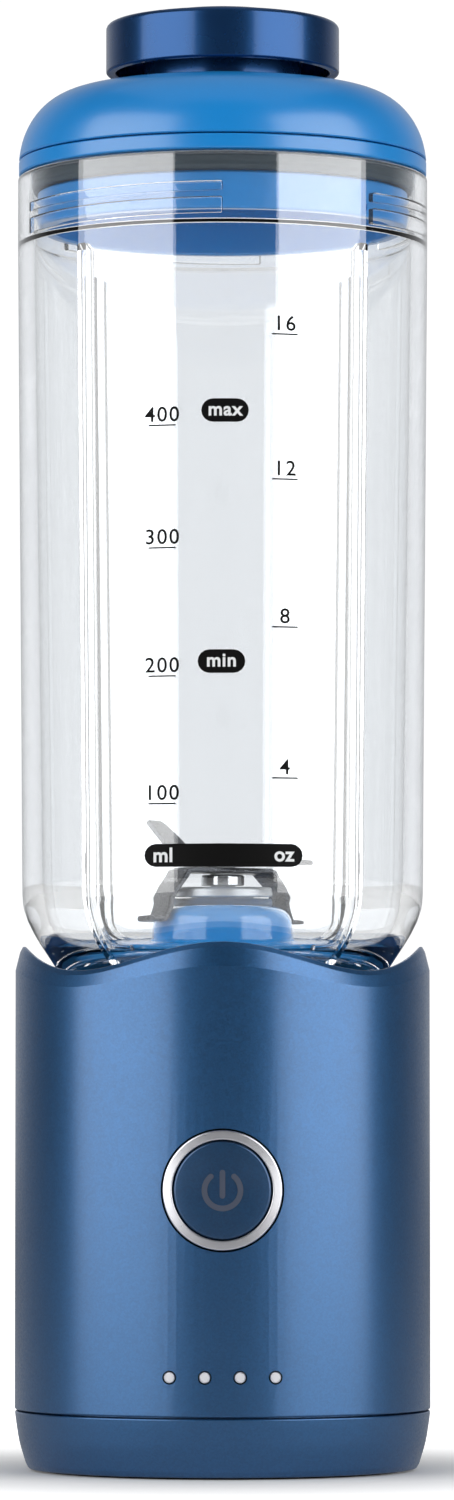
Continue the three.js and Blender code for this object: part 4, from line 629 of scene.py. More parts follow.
def raise_rim(obj, foot):
    """Lifts the rim's columns into the wave, one group of like columns at a time."""
    only(obj)
    bpy.ops.object.mode_set(mode="EDIT")
    mesh = bmesh.from_edit_mesh(obj.data)
    groups = {}
    for corner in mesh.verts:
        height = corner.co.z / MM
        if height < foot - 0.2:
            continue
        share = 0.72 + 0.28 * min(1, (height - foot) / (RIM_MIDDLE - foot - 0.5))
        lift = round(share * rim_wave(math.atan2(corner.co.y, corner.co.x)), 3)
        groups.setdefault(lift, []).append(corner.index)
    for lift, members in groups.items():
        mesh = bmesh.from_edit_mesh(obj.data)
        mesh.verts.ensure_lookup_table()
        bpy.ops.mesh.select_all(action="DESELECT")
        for index in members:
            mesh.verts[index].select = True
        mesh.select_flush(True)
        bpy.ops.transform.translate(value=(0, 0, lift * MM))
    bpy.ops.object.mode_set(mode="OBJECT")


def wall_hole(outline, height, radius, depth, back=False):
    """A cutter that goes through the round wall."""
    tool = plate("hole", outline, depth)
    turn = 180 if back else 0
    tool.rotation_euler = (math.radians(90), 0, math.radians(turn))
    tool.location = (0, (radius if back else -radius) * MM, height * MM)
    apply_place(tool)
    return tool


def circle(x, y, radius, steps=64):
    turn = [math.tau * i / steps for i in range(steps)]
    return [(x + radius * math.cos(a), y + radius * math.sin(a)) for a in turn]


class BLENDER_OT_housing(bpy.types.Operator):
    """Models the painted shell of the motor base, with its wavy rim"""

    bl_idname = "blender_part.housing"
    bl_label = "Housing"

    def execute(self, context):
        edge = sizes().edge / MM
        bore = BASE_RADIUS - 2.2
        foot = RIM_MIDDLE - sizes().bevel / MM
        outline = rounded(
            (bore, HOUSING_BOTTOM, edge), (BASE_RADIUS, HOUSING_BOTTOM, edge), (BASE_RADIUS, foot - 6),
            (BASE_RADIUS, foot, 0.35), (BASE_RADIUS - 0.9, RIM_MIDDLE - 1, 1.2),
            (BASE_RADIUS - 1.5, RIM_MIDDLE, 0.25), (bore, RIM_MIDDLE, 0.3), (bore, foot - 6),
        )
        shell = turned("housing_shell", outline, closed=True)
        raise_rim(shell, foot)
        ring_hole = circle(0, 0, RING_RADIUS + GAP, 96)
        combine(shell, wall_hole(ring_hole, BUTTON_Z, 35, 10), "DIFFERENCE")
        for i in range(4):
            dot = circle(DOT_PITCH * (i - 1.5), 0, 1.35, 32)
            combine(shell, wall_hole(dot, DOT_Z, 35, 10), "DIFFERENCE")
        port = rounded_box(2 * FLAP_HALF + 0.6, FLAP_TOP - FLAP_BOTTOM + 0.6, 1.6)
        port_z = (FLAP_TOP + FLAP_BOTTOM) / 2
        combine(shell, wall_hole(port, port_z, 38.6, 8, back=True), "DIFFERENCE")
        finished(shell, "base", "blue_paint", "paint", "housing")
        return {"FINISHED"}


class BLENDER_OT_cover(bpy.types.Operator):
    """Models the bottom cover and the rubber foot ring"""

    bl_idname = "blender_part.cover"
    bl_label = "Bottom cover and foot"

    def execute(self, context):
        low = COVER_BOTTOM
        top = HOUSING_BOTTOM - GAP
        groove = FOOT_RADIUS + GAP
        inner = FOOT_RADIUS - 7.3
        outline = rounded(
            (0, low + 0.5), (inner - 3.2, low + 0.5, 0.6), (inner - 2.2, low, 0.5), (inner, low, 0.2),
            (inner, FOOT_TOP + 0.1, 0.1), (groove, FOOT_TOP + 0.1, 0.1), (groove, low, 0.2),
            (38.7, low, 0.7), (39.3, low + 1.1, 2), (40.65, low + 5.5, 20), (41.25, low + 9.5, 8),
            (BASE_RADIUS, top, 0.3), (39, top, 0.1), (39, COVER_LIP_TOP, 0.3),
            (38, COVER_LIP_TOP, 0.3), (38, low + 3, 0.5), (0, low + 3),
        )
        cover = turned("cover_shell", outline)
        finished(cover, "base", "blue_paint", "paint", "bottom_cover")
        foot = rounded(
            (inner + 0.3, 0, 0.5), (FOOT_RADIUS - 4.6, 0, 0.2), (FOOT_RADIUS - 4.4, 0.35, 0.2),
            (FOOT_RADIUS - 2.6, 0.35, 0.2), (FOOT_RADIUS - 2.4, 0, 0.2), (FOOT_RADIUS, 0, 0.5),
            (FOOT_RADIUS, FOOT_TOP, 0.1), (inner + 0.3, FOOT_TOP, 0.1), steps=3,
        )
        ring = turned("foot_tread", foot, closed=True)
        finished(ring, "base", "black_rubber", "rubber", "foot_ring")
        return {"FINISHED"}


def arc_end(reach, stroke, at, start, steps=8):
    """The half circle that rounds off one end of an arc-shaped stroke."""
    x, y = reach * math.cos(at), reach * math.sin(at)
    half = [start + math.pi * i / steps for i in range(1, steps)]
    return [(x + stroke * math.cos(a), y + stroke * math.sin(a)) for a in half]


class BLENDER_OT_button(bpy.types.Operator):
    """Models the power button, its icon and the silver ring round it"""

    bl_idname = "blender_part.button"
    bl_label = "Power button and ring"

    def execute(self, context):
        radius = RING_RADIUS - 2.2
        outline = rounded(
            (0, -5.5), (10.9, -5.5, 0.2), (10.9, -4, 0.2), (radius, -4), (radius, 0, 0.4),
            (7, 0), (0, 0),
        )
        button = turned("button_cap", outline, sides=96)
        face_wall(button, BUTTON_Z, BASE_RADIUS - 0.15)
        finished(button, "button", "blue_paint", "button paint", "power_button")

        inner = radius + GAP
        outline = rounded(
            (inner, -3.1, 0.2), (RING_RADIUS, -3.1, 0.2), (RING_RADIUS, 0, 0.35), (inner, 0, 0.3)
        )
        ring = turned("button_trim", outline, closed=True, sides=96)
        face_wall(ring, BUTTON_Z, BASE_RADIUS - 0.1)
        finished(ring, "base", "silver", "silver", "button_ring")

        reach, stroke = 3.5, 0.55
        bend = [math.radians(130 + 280 * i / 40) for i in range(41)]
        arc = on_arc(reach + stroke, bend)
        arc += arc_end(reach, stroke, bend[-1], bend[-1])
        arc += on_arc(reach - stroke, reversed(bend))
        arc += arc_end(reach, stroke, bend[0], bend[0] + math.pi)
        strokes = [plate("power_icon", arc, 0.04)]
        bar = [(-y, x) for x, y in pill(1.2, 0, 5.6, 2 * stroke)]
        strokes.append(plate("icon_bar", bar, 0.04))
        icon = joined(strokes)
        slices(icon, 0, 0.7, 4.2)
        face_wall(icon, BUTTON_Z, BASE_RADIUS - 0.14)
        finished(icon, "button", "grey_plastic", "icon")
        return {"FINISHED"}


class BLENDER_OT_lights(bpy.types.Operator):
    """Models the four charge lights and the light guide behind them"""

    bl_idname = "blender_part.lights"
    bl_label = "Charge lights"

    def execute(self, context):
        dot = turned("dot", rounded((0, -6.5), (1.1, -6.5), (1.1, 0, 0.3), (0, 0.02)), sides=32)
        dots = []
        for i in range(4):
            copy = copied(dot, 0)
            copy.location.x = DOT_PITCH * (i - 1.5) * MM
            apply_place(copy)
            dots.append(copy)
        bpy.data.objects.remove(dot)
        guide = joined(dots)
        guide.name = "charge_lights"
        face_wall(guide, DOT_Z, BASE_RADIUS - 0.25)
        finished(guide, "base", "light_pipe", "light pipe", "light_guide")
        return {"FINISHED"}


class BLENDER_OT_port_cover(bpy.types.Operator):
    """Models the rubber flap over the charge port at the back"""

    bl_idname = "blender_part.port_cover"
    bl_label = "Port cover"

    def execute(self, context):
        height = FLAP_TOP - FLAP_BOTTOM
        flap = plate("port_flap", rounded_box(2 * FLAP_HALF - 0.1, height, 1.3), 1.6)
        bevelled(flap, 0.3, 30, 3)
        tab = plate("tab", pill(0, -height / 2 + 1.9, 6, 1.2), 0.5)
        bevelled(tab, 0.2, 30)
        raised(tab, 1.45)
        combine(flap, tab, "UNION")
        slices(flap, 0, 1, 7)
        raised(flap, -1.9)
        face_wall(flap, (FLAP_TOP + FLAP_BOTTOM) / 2, BASE_RADIUS - 0.2, back=True)
        finished(flap, "port_flap", "black_rubber", "rubber", "port_cover")
        return {"FINISHED"}


# ---------- Cup ----------


def cup_outside():
    """Radius and height of the cup's outer wall, from its foot up."""
    low = CUP_FLOOR
    belly = (
        (BASE_RADIUS - 10.23, 0), (36.31, 7.6), (37.11, 8.9), (37.82, 10.1), (38.42, 11.3),
        (39.02, 12.5), (39.43, 13.7), (39.83, 14.9), (40.03, 16.1), (40.17, 18), (40.2, 20.5),
        (40.42, 50),
    )
    return [(radius, low + up) for radius, up in belly] + [(CUP_RADIUS, CUP_TOP - 13.6)]


def cup_bore(height):
    """Radius of the cup's bore at a height above its inner corner."""
    low = CUP_FLOOR + (FLOOR_THICK + CORNER_HEIGHT)
    high = CUP_TOP - THREAD_DEPTH
    return BORE_LOW + (BORE_HIGH - BORE_LOW) * (height - low) / (high - low)


def inner_corner(inset, steps=12):
    """The round corner between the cup's floor and its bore, listed from the wall down."""
    top = CUP_FLOOR + FLOOR_THICK + CORNER_HEIGHT
    points = []
    for i in range(steps + 1):
        angle = math.pi / 2 * i / steps
        across = (CORNER_WIDTH - inset) * math.cos(angle)
        points.append((CORNER_START + across, top - (CORNER_HEIGHT - inset) * math.sin(angle)))
    return points


class BLENDER_OT_cup(bpy.types.Operator):
    """Models the clear cup with its ribs, thread and foot"""

    bl_idname = "blender_part.cup"
    bl_label = "Cup"

    def execute(self, context):
        floor = CUP_FLOOR
        bore = CUP_RADIUS - 2.38
        thread_foot = CUP_TOP - THREAD_DEPTH
        foot_bore, foot_wall = 24.5, 27
        outline = rounded(
            (16, floor), (foot_bore, floor), (foot_bore, CUP_FOOT, 0.3), (foot_wall, CUP_FOOT, 0.3),
            (foot_wall, floor),
        )
        outline += cup_outside()
        outline += rounded(
            (CUP_RADIUS, CUP_TOP - 2), (CUP_RADIUS, CUP_TOP, 0.5), (bore, CUP_TOP, 0.5),
            (bore, CUP_TOP - 13.3, 0.3), (cup_bore(thread_foot), thread_foot, 0.3),
            (cup_bore(CUP_TOP - 20), CUP_TOP - 20),
        )
        outline += inner_corner(0)
        outline += [(16, floor + FLOOR_THICK)]
        cup = turned("cup_shell", outline, closed=True)

        rib_top = CUP_TOP - 16.6
        wall = cup_bore(rib_top)
        profile = [(wall + 0.8, rib_top), (wall - 1, rib_top), (wall - 2.3, rib_top - 1.2)]
        foot = [math.pi / 2 * i / 10 for i in range(11)]
        profile += [(25 + 8.7 * math.cos(a), floor + 16.7 - 9.6 * math.sin(a)) for a in foot]
        profile += [(25, floor + 4)]
        profile += [(r, z) for r, z in reversed(inner_corner(-0.8)) if r > 25]
        width = sizes().rib / MM
        rib = plate("rib", profile, width)
        bevelled(rib, 0.45, 50)
        rib.rotation_euler.x = math.radians(90)
        rib.location.y = width / 2 * MM
        apply_place(rib)
        extras = [around(rib, 4, 45)]
        for row, height in enumerate((3.2, 1.9)):
            bar = ridge("thread", bore - 1.2, bore + 0.8, height, 72, 3)
            bevelled(bar, 0.35, 50)
            raised(bar, CUP_TOP - 12.4 + 4.4 * row)
            extras.append(around(bar, 3, THREAD_TURN))
        combine(cup, joined(extras), "UNION")
        lug = ridge("lug", 25.8, 28.3, 1.6, 24, 30, 10)
        raised(lug, CUP_FOOT + 0.9)
        add_round(cup, lug, 4)
        seam = ridge("seam", CUP_RADIUS - 0.4, CUP_RADIUS + 0.1, 12.6, 0.5, 0, 1)
        seam.location.z = (CUP_TOP - 13.2) * MM
        seam.rotation_euler.z = math.radians(-88)
        apply_place(seam)
        combine(cup, seam, "UNION")
        finished(cup, "cup", "clear_plastic", "clear", "cup", crease=35)
        return {"FINISHED"}


def on_cup(obj, lift):
    """Lays flat print on the cup's front, its lower face lifted off the wall a little."""
    for corner in obj.data.vertices:
        x, height, depth = corner.co.x / MM, corner.co.y / MM, corner.co.z / MM
        share = min(1, max(0, (height - PRINT_LOW) / PRINT_RANGE))
        radius = PRINT_RADIUS + (CUP_RADIUS - PRINT_RADIUS) * share + lift + depth
        corner.co = (x * MM, -math.sqrt(radius**2 - x**2) * MM, height * MM)


def words(text, x, y, size, weight, spread):
    """Printed characters as a thin closed mesh, centred on x and standing on y."""
    clear_selection()
    bpy.ops.object.text_add(location=(0, 0, 0))
    obj = bpy.context.object
    obj.data.body = text
    obj.data.align_x = "CENTER"
    obj.data.size = size * MM
    obj.data.offset = weight * MM
    obj.data.space_character = spread
    obj.data.extrude = sizes().ink / 2
    obj.data.resolution_u = 6
    bpy.ops.object.convert(target="MESH")
    obj = bpy.context.object
    obj.location = (x * MM, y * MM, sizes().ink / 2)
    apply_place(obj)
    weld(obj)
    return obj


class BLENDER_OT_scale(bpy.types.Operator):
    """Prints the volume scale on the front of the cup"""

    bl_idname = "blender_part.scale"
    bl_label = "Volume scale"

    def execute(self, context):
        ink = sizes().ink / MM
        marks = []
        ounces = (("16", 223.2), ("12", 194.75), ("8", 165.8), ("4", 136.3))
        millilitres = (("400", 205.3), ("300", 181.3), ("200", 156.2), ("100", 131.3))
        rows = [(text, 12.2, z, 5.1) for text, z in ounces]
        rows += [(text, -11.8, z, 5.4) for text, z in millilitres]
        for text, x, height, width in rows:
            marks.append(words(text, x, height + 0.75, 4.15, 0.04, 1.14))
            marks.append(plate("line", pill(x, height, width, 0.3, 3), ink))
        for x, height in ((0.5, 208.1), (-0.2, 159)):
            marks.append(plate("pill", pill(x, height, 9.3, 4.6), ink))
        bar = plate("bar", pill(0.2, 121.2, 30.9, 4.5), ink)
        marks.append(bar)
        print_marks = joined(marks)
        print_marks.name = "scale_marks"
        slices(print_marks, 0, 1.2, 15)
        on_cup(print_marks, 0.01)
        finished(print_marks, "cup", "black_plastic", "ink")

        letters = [
            words("max", 0.5, 207.1, 3.7, 0.1, 1.1),
            words("min", -0.2, 158, 3.7, 0.1, 1.1),
            words("ml", -11.6, 119.95, 3.9, 0.1, 1.05),
            words("oz", 12, 120.1, 3.9, 0.1, 1.05),
        ]
        letter_print = joined(letters)
        letter_print.name = "scale_letters"
        slices(letter_print, 0, 1.2, 15)
        on_cup(letter_print, 0.015 + ink)
        finished(letter_print, "cup", "light_pipe", "white ink")
        return {"FINISHED"}


class BLENDER_OT_hub(bpy.types.Operator):
    """Models the blade holder, its washer and the spacer"""

    bl_idname = "blender_part.hub"
    bl_label = "Blade holder"

    def execute(self, context):
        flange = CUP_FLOOR + 5
        top = flange + 1.9
        hub_top = HUB_TOP + 0.4
        outline = rounded(
            (10.5, STEM_BOTTOM, 0.3), (15.7, STEM_BOTTOM, 0.3), (15.7, flange), (17.7, flange),
            (17.7, flange + 1.2), (21.3, flange + 1.2), (21.3, flange), (FLANGE_RADIUS, flange, 0.3),
            (FLANGE_RADIUS, top, 0.6), (14.9, top, 0.8), (14.2, top + 1.2, 0.6), (13.8, hub_top, 2.8),
            (6.6, hub_top, 0.2), (6.6, HUB_TOP - 2.9), (5.3, HUB_TOP - 2.9), (5.3, STEM_BOTTOM + 2.6),
            (10.5, STEM_BOTTOM + 2.6),
        )
        hub = turned("hub_body", outline, closed=True)
        finished(hub, "cup", "hub_plastic", "hub", "blade_holder")

        outline = rounded(
            (3.1, WASHER_BOTTOM, 0.2), (6.2, WASHER_BOTTOM), (6.2, hub_top + 0.2),
            (WASHER_RADIUS, hub_top + 0.2, 0.4), (WASHER_RADIUS, WASHER_TOP, 0.9), (3.1, WASHER_TOP, 0.2),
        )
        washer = turned("hub_washer", outline, closed=True, sides=96)
        finished(washer, "cup", "silver", "steel", "seal_cap")

        outline = rounded(
            (SHAFT_HOLE, SPACER_BOTTOM, 0.1), (SPACER_RADIUS, SPACER_BOTTOM, 0.35),
            (SPACER_RADIUS, SPACER_TOP, 0.35), (SHAFT_HOLE, SPACER_TOP, 0.1),
        )
        spacer = turned("blade_collar", outline, closed=True, sides=64)
        finished(spacer, "blade", "silver", "chrome", "blade_spacer")
        return {"FINISHED"}


def shaft_hole(low, high):
    """A cutter for the hole the blade shaft goes through."""
    return turned("hole", [(0, low), (SHAFT_HOLE, low), (SHAFT_HOLE, high), (0, high)], sides=32)


def bent_blade(name, path, half_width, turn, tips):
    """A ground strip blade that follows a bent path of (x, z) points."""
    steps = [Vector(point) for point in path]
    stations = [0.0]
    for a, b in zip(steps, steps[1:]):
        stations.append(stations[-1] + (b - a).length)
    crossing = next(i for i in range(len(steps) - 1) if steps[i].x <= 0 <= steps[i + 1].x)
    a, b = steps[crossing], steps[crossing + 1]
    middle = stations[crossing] + (b - a).length * (0 - a.x) / (b.x - a.x)
    left, right = -middle, stations[-1] - middle
    slim, point = tips
    outline = [
        (left, -half_width + slim), (left * 0.55, -half_width), (right * 0.5, -half_width),
        (right * 0.93, half_width - point - 1.2), (right, half_width - point),
        (right, half_width - 0.6), (right * 0.97, half_width), (left * 0.5, half_width),
        (left * 0.93, -half_width + slim + point + 1.2), (left, -half_width + slim + point),
    ]
    blade = plate(name, outline, BLADE_THICK)
    bevelled(blade, 0.32, 60)
    slices(blade, 0, 0.5, max(-left, right))
    combine(blade, shaft_hole(-2, 3), "DIFFERENCE")
    for corner in blade.data.vertices:
        along = corner.co.x / MM + middle
        i = max(j for j in range(len(stations) - 1) if stations[j] <= max(along, 0))
        a, b = steps[i], steps[i + 1]
        run = (b - a).normalized()
        place = a + run * (along - stations[i]) + Vector((-run.y, run.x)) * (corner.co.z / MM)
        corner.co.x, corner.co.z = place.x * MM, place.y * MM
    blade.rotation_euler.z = math.radians(turn)
    return blade


class BLENDER_OT_blades(bpy.types.Operator):
    """Models the two bent blades and the nut that holds them"""

    bl_idname = "blender_part.blades"
    bl_label = "Blades"

    def execute(self, context):
        tips = (0.3, 4.6)
        flat = LOWER_BLADE_TOP - BLADE_THICK
        low = flat - BLADE_DROP
        path = rounded(
            (-18.9, low), (-14.8, low, 0.6), (-9.4, flat, 0.6), (9.4, flat, 0.6), (14.8, low, 0.6),
            (18.9, low),
        )
        lower = bent_blade("lower_strip", path, BLADE_HALF, 30, tips)
        finished(lower, "blade", "blade_steel", "blade", "lower_blade", crease=25)
        flat = UPPER_BLADE_BOTTOM
        path = rounded((-16.2, flat + 9), (-7.5, flat, 0.8), (18.9, flat))
        upper = bent_blade("upper_strip", path, BLADE_HALF, -32, tips)
        finished(upper, "blade", "blade_steel", "blade", "upper_blade", crease=25)

        hexagon = circle(0, 0, 4.15, 6)
        nut = plate("lock_nut", hexagon, NUT_TOP - NUT_BOTTOM)
        bevelled(nut, 0.45, 70, 3)
        raised(nut, NUT_BOTTOM)
        combine(nut, shaft_hole(NUT_BOTTOM - 1, NUT_BOTTOM + 1.9), "DIFFERENCE")
        nut.rotation_euler.z = math.radians(15)
        finished(nut, "blade", "silver", "blade", "blade_nut")
        return {"FINISHED"}


# ---------- Lid ----------


def dome(inset, steps=20):
    """The lid's quarter ellipse, from its foot up, moved inwards by an inset."""
    across, rise, sunk = 12.6, 14.83, 1.1
    start = math.asin(sunk / (rise - inset))
    points = []
    for i in range(steps + 1):
        angle = start + (math.pi / 2 - start) * i / steps
        radius = BAND_RADIUS - across + (across - inset) * math.cos(angle)
        points.append((radius, DOME_BOTTOM - sunk + (rise - inset) * math.sin(angle)))
    return points


class BLENDER_OT_lid(bpy.types.Operator):
    """Models the lid's threaded collar, its seal and its domed top with the spout"""

    bl_idname = "blender_part.lid"
    bl_label = "Lid"

    def execute(self, context):
        skirt = CUP_RADIUS - 3.98
        groove = skirt - 1
        lip = BAND_RADIUS - 3.1
        band_top = DOME_BOTTOM - GAP
        seal_foot = SEAL_BOTTOM - GAP
        outline = rounded(
            (skirt - 2.4, SKIRT_BOTTOM, 0.5), (skirt, SKIRT_BOTTOM, 0.5), (skirt, seal_foot, 0.2),
            (groove, seal_foot), (groove, BAND_BOTTOM), (BAND_RADIUS, BAND_BOTTOM, 0.5),
            (BAND_RADIUS, band_top, 0.3), (lip, band_top), (lip, COLLAR_LIP_TOP, 0.3),
            (skirt - 2.4, COLLAR_LIP_TOP, 0.3),
        )
        collar = turned("lid_ring", outline, closed=True)
        thread = ridge("thread", skirt - 0.8, skirt + 0.3, 1.3, 72, 12.6)
        raised(thread, CUP_TOP - 8.6)
        add_round(collar, thread, 3, THREAD_TURN)
        finished(collar, "lid", "lid_plastic", "lid", "lid_collar")

        outline = rounded(
            (groove + 0.3, SEAL_BOTTOM, 0.3), (SEAL_RADIUS - 0.3, SEAL_BOTTOM, 0.5),
            (SEAL_RADIUS, SEAL_BOTTOM + 0.9, 0.4), (SEAL_RADIUS - 0.5, SEAL_BOTTOM + 1.75, 0.4),
            (SEAL_RADIUS, SEAL_TOP - 0.9, 0.4),
            (SEAL_RADIUS - 0.3, SEAL_TOP, 0.5), (groove + 0.3, SEAL_TOP, 0.3), steps=3,
        )
        seal = turned("lid_gasket", outline, closed=True)
        finished(seal, "lid", "grey_silicone", "seal", "lid_seal")

        outer = dome(0)
        outline = [(outer[0][0] - 0.25, DOME_BOTTOM), (outer[0][0], DOME_BOTTOM + 0.25)] + outer[1:]
        wall, spout, bore = 2.2, 13.5, 11.4
        under = DOME_TOP - wall
        outline += rounded(
            (20, DOME_TOP), (spout, DOME_TOP, 0.8), (spout, SPOUT_TOP, 0.6), (bore, SPOUT_TOP, 0.6),
            (bore, under, 0.8), (20, under),
        )
        outline += list(reversed(dome(wall)))
        top = turned("lid_top", outline, closed=True)
        stop = ridge("stop", 16.3, 18.3, 3.5, 8, 0, 4)
        bevelled(stop, 0.3, 50)
        raised(stop, DOME_TOP - 1.1)
        add_round(top, stop, 2)
        thread = ridge("thread", 12.8, 14.4, 1.1, 100, 9)
        raised(thread, (DOME_TOP + SPOUT_TOP) / 2)
        add_round(top, thread, 2)
        finished(top, "lid", "lid_plastic", "lid", "lid_dome")
        return {"FINISHED"}


class BLENDER_OT_cap(bpy.types.Operator):
    """Models the screw cap over the spout"""

    bl_idname = "blender_part.cap"
    bl_label = "Screw cap"

    def execute(self, context):
        plate_bottom = CAP_TOP - 2.5
        low = DOME_TOP + 4
        outline = rounded(
            (0, plate_bottom), (14.7, plate_bottom, 0.2), (14.7, CAP_SKIRT_BOTTOM, 0.3),
            (15.8, CAP_SKIRT_BOTTOM, 0.3), (15.8, plate_bottom, 0.6), (21.6, plate_bottom, 0.6),
            (21.6, low, 0.4), (CAP_RADIUS, low, 0.5), (CAP_RADIUS, CAP_TOP, 1.1),
            (16.1, CAP_TOP + 0.25, 0.8), (14.6, CROWN_TOP - 0.35, 1.6), (11.5, CROWN_TOP, 3),
            (0, CROWN_TOP),
        )
        cap = turned("cap_shell", outline)
        thread = ridge("thread", 13.8, 15.2, 1.1, 100, 9)
        raised(thread, (DOME_TOP + SPOUT_TOP) / 2 - 2.25)
        add_round(cap, thread, 2)
        finished(cap, "cap", "cap_plastic", "cap", "screw_cap")
        return {"FINISHED"}


# ---------- Inner pieces kept from the frame ----------

INNER = {
    "steel": (
        "cover_screw_1", "cover_screw_2", "cover_screw_3", "cover_screw_4", "charge_port",
        "motor_screw_1", "motor_screw_2", "motor_can", "lower_bearing", "upper_bearing",
        "motor_shaft", "blade_shaft", "trigger_magnet",
    ),
    "black": (
        "battery_tray", "cup_sensor", "power_switch", "motor_end_cap", "drive_coupling",
        "driven_coupling",
    ),
    "hub": ("cup_socket", "holder_nut"),
    "rubber": ("splash_seal", "shaft_seal"),
    "seal": ("holder_gasket", "cap_seal"),
    "grey": ("motor_mount",),
    "wrap": ("battery_cell_1", "battery_cell_2"),
    "board": ("control_board", "charge_board"),
    "magnet": ("motor_magnet_1", "motor_magnet_2", "motor_brush_1", "motor_brush_2", "armature_core"),
    "copper": ("armature_winding", "commutator"),
    "brass": ("lower_bush", "upper_bush"),
}


class BLENDER_OT_inner(bpy.types.Operator):
    """Gives the pieces inside their finishes"""

    bl_idname = "blender_part.inner"
    bl_label = "Inner pieces"

    def execute(self, context):
        for finish, nodes in INNER.items():
            for node in nodes:
                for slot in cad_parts[node].material_slots:
                    slot.material = FINISHES[finish]()
        return {"FINISHED"}


# ---------- Stage ----------


def softbox(name, degrees, distance, width, height, power, up):
    """A tall soft light that faces the blender, at an angle round it from the front."""
    angle = math.radians(degrees)
    place = Vector((math.sin(angle) * distance, -math.cos(angle) * distance, up))
    bpy.ops.object.light_add(type="AREA", location=place)
    light = bpy.context.object
    light.name = name
    light.data.shape = "RECTANGLE"
    light.data.size = width
    light.data.size_y = height
    light.data.energy = power
    aim = Vector((0, 0, up)) - place
    light.rotation_euler = aim.to_track_quat("-Z", "Y").to_euler()
    light.visible_camera = False
    return light


def glowing_floor():
    """A pale floor, glowing bright where it is seen directly, whose glow is cut close under the base as a
    painted soft shadow.
    """
    made = plastic("floor", (0.7, 0.7, 0.7), 0.9, 400.0, 0.02, (0.02, 0.02))
    tree = made.node_tree
    place = tree.nodes.new("ShaderNodeTexCoord").outputs["Object"]
    reach = tree.nodes.new("ShaderNodeVectorMath")
    reach.operation = "LENGTH"
    tree.links.new(place, reach.inputs[0])
    # painted shadow: the glow drops to a tenth close round the base and is full further out
    painted_shadow_ramp = tree.nodes.new("ShaderNodeMapRange")
    for label, value in (("From Min", 0.04), ("From Max", 0.13), ("To Min", 0.1)):
        painted_shadow_ramp.inputs[label].default_value = value
    tree.links.new(reach.outputs["Value"], painted_shadow_ramp.inputs["Value"])
    rays = tree.nodes.new("ShaderNodeLightPath")
    through = math_node(tree, "MULTIPLY", rays.outputs["Is Transmission Ray"], 0.7)
    seen = math_node(tree, "ADD", rays.outputs["Is Camera Ray"], through)
    shader = tree.nodes["Principled BSDF"]
    shader.inputs["Emission Color"].default_value = (1, 1, 1, 1)
    glow = math_node(tree, "MULTIPLY", painted_shadow_ramp.outputs[0], seen)
    tree.links.new(glow, shader.inputs["Emission Strength"])
    return made


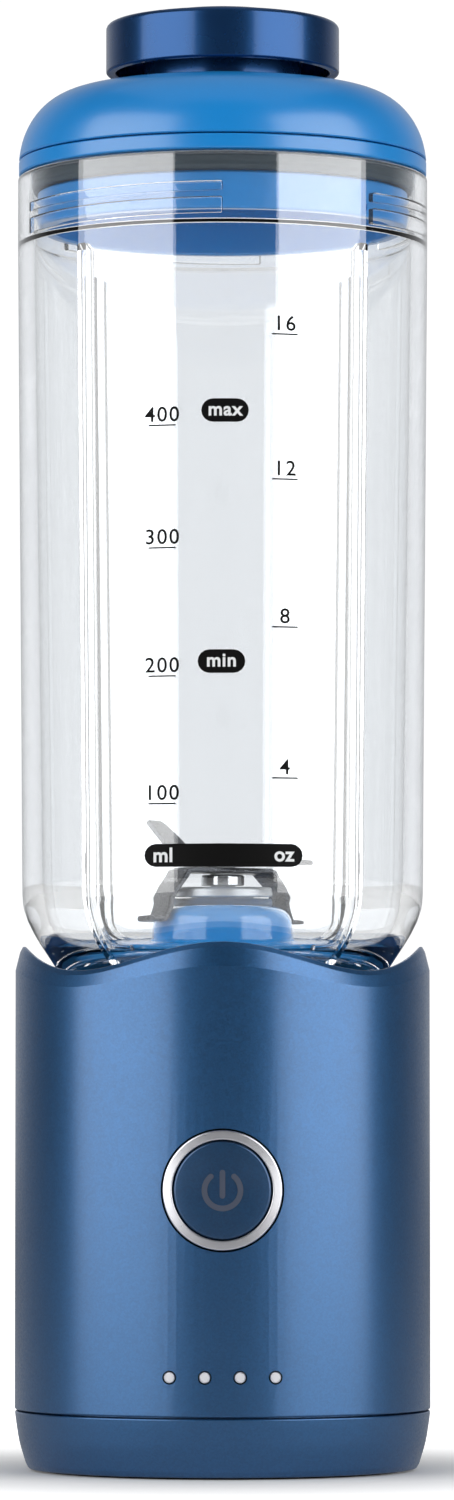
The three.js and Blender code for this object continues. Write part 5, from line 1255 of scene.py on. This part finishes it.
class BLENDER_OT_stage(bpy.types.Operator):
    """Sets the pale floor and backdrop, the softboxes and the camera"""

    bl_idname = "blender_part.stage"
    bl_label = "Stage"

    def execute(self, context):
        settings = context.scene.blender_stage
        clear_selection()
        bpy.ops.mesh.primitive_plane_add(size=12, location=(0, 0, 0))
        floor = named("floor")
        apply_place(floor)
        floor.data.materials.append(glowing_floor())

        softbox("left_softbox", -57, 1.0, 1.15, 1.7, settings.panel_power, 0.25)
        softbox("right_softbox", 58.5, 1.0, 1.05, 1.7, settings.panel_power, 0.25)
        top = softbox("top_softbox", 0, 0.01, 1.4, 1.4, settings.top_power, 1.5)
        top.rotation_euler = (0, 0, 0)

        world = bpy.data.worlds.new("backdrop")
        context.scene.world = world
        world.use_nodes = True
        tree = world.node_tree
        seen = tree.nodes["Background"]
        seen.inputs["Color"].default_value = (1, 1, 1, 1)
        seen.inputs["Strength"].default_value = settings.backdrop
        room = tree.nodes.new("ShaderNodeBackground")
        room.inputs["Color"].default_value = (0.95, 0.97, 1, 1)
        split = tree.nodes.new("ShaderNodeSeparateXYZ")
        tree.links.new(tree.nodes.new("ShaderNodeTexCoord").outputs["Generated"], split.inputs[0])
        behind = tree.nodes.new("ShaderNodeMapRange")
        behind.inputs["From Min"].default_value = 0.4
        behind.inputs["From Max"].default_value = 0.9
        behind.inputs["To Min"].default_value = settings.room
        behind.inputs["To Max"].default_value = settings.wall
        tree.links.new(split.outputs["Y"], behind.inputs["Value"])
        rays = tree.nodes.new("ShaderNodeLightPath")
        through = math_node(tree, "MULTIPLY", rays.outputs["Is Transmission Ray"], settings.through)
        gain = math_node(tree, "ADD", 1.0, through)
        strength = math_node(tree, "MULTIPLY", behind.outputs[0], gain)
        tree.links.new(strength, room.inputs["Strength"])
        mix = tree.nodes.new("ShaderNodeMixShader")
        tree.links.new(rays.outputs["Is Camera Ray"], mix.inputs[0])
        tree.links.new(room.outputs[0], mix.inputs[1])
        tree.links.new(seen.outputs[0], mix.inputs[2])
        tree.links.new(mix.outputs[0], tree.nodes["World Output"].inputs["Surface"])

        clear_selection()
        tilt = math.radians(CAMERA_TILT)
        bpy.ops.object.camera_add(location=CAMERA_PLACE, rotation=(tilt, 0, 0))
        camera = bpy.context.object
        camera.name = "camera"
        camera.data.lens = settings.lens
        camera.data.sensor_width = 36
        context.scene.camera = camera
        context.scene.view_settings.view_transform = "Standard"
        return {"FINISHED"}


PIECES = (
    BLENDER_OT_housing,
    BLENDER_OT_cover,
    BLENDER_OT_button,
    BLENDER_OT_lights,
    BLENDER_OT_port_cover,
    BLENDER_OT_cup,
    BLENDER_OT_scale,
    BLENDER_OT_hub,
    BLENDER_OT_blades,
    BLENDER_OT_lid,
    BLENDER_OT_cap,
    BLENDER_OT_inner,
    BLENDER_OT_stage,
)


class BLENDER_PT_pieces(bpy.types.Panel):
    """Lists the steps that build the blender"""

    bl_idname = "BLENDER_PT_pieces"
    bl_label = "Personal Blender"
    bl_space_type = "VIEW_3D"
    bl_region_type = "UI"
    bl_category = "Blender"

    def draw(self, context):
        for step in PIECES:
            self.layout.operator(step.bl_idname)


CLASSES = (BlenderColours, BlenderSizes, BlenderStage, *PIECES, BLENDER_PT_pieces)


def register():
    for kind in CLASSES:
        bpy.utils.register_class(kind)
    bpy.types.Scene.blender_colours = bpy.props.PointerProperty(type=BlenderColours)
    bpy.types.Scene.blender_sizes = bpy.props.PointerProperty(type=BlenderSizes)
    bpy.types.Scene.blender_stage = bpy.props.PointerProperty(type=BlenderStage)


def unregister():
    del bpy.types.Scene.blender_stage
    del bpy.types.Scene.blender_sizes
    del bpy.types.Scene.blender_colours
    for kind in reversed(CLASSES):
        bpy.utils.unregister_class(kind)


def main():
    register()
    for step in PIECES:
        group, name = step.bl_idname.split(".")
        getattr(getattr(bpy.ops, group), name)()


if __name__ == "__main__":
    main()
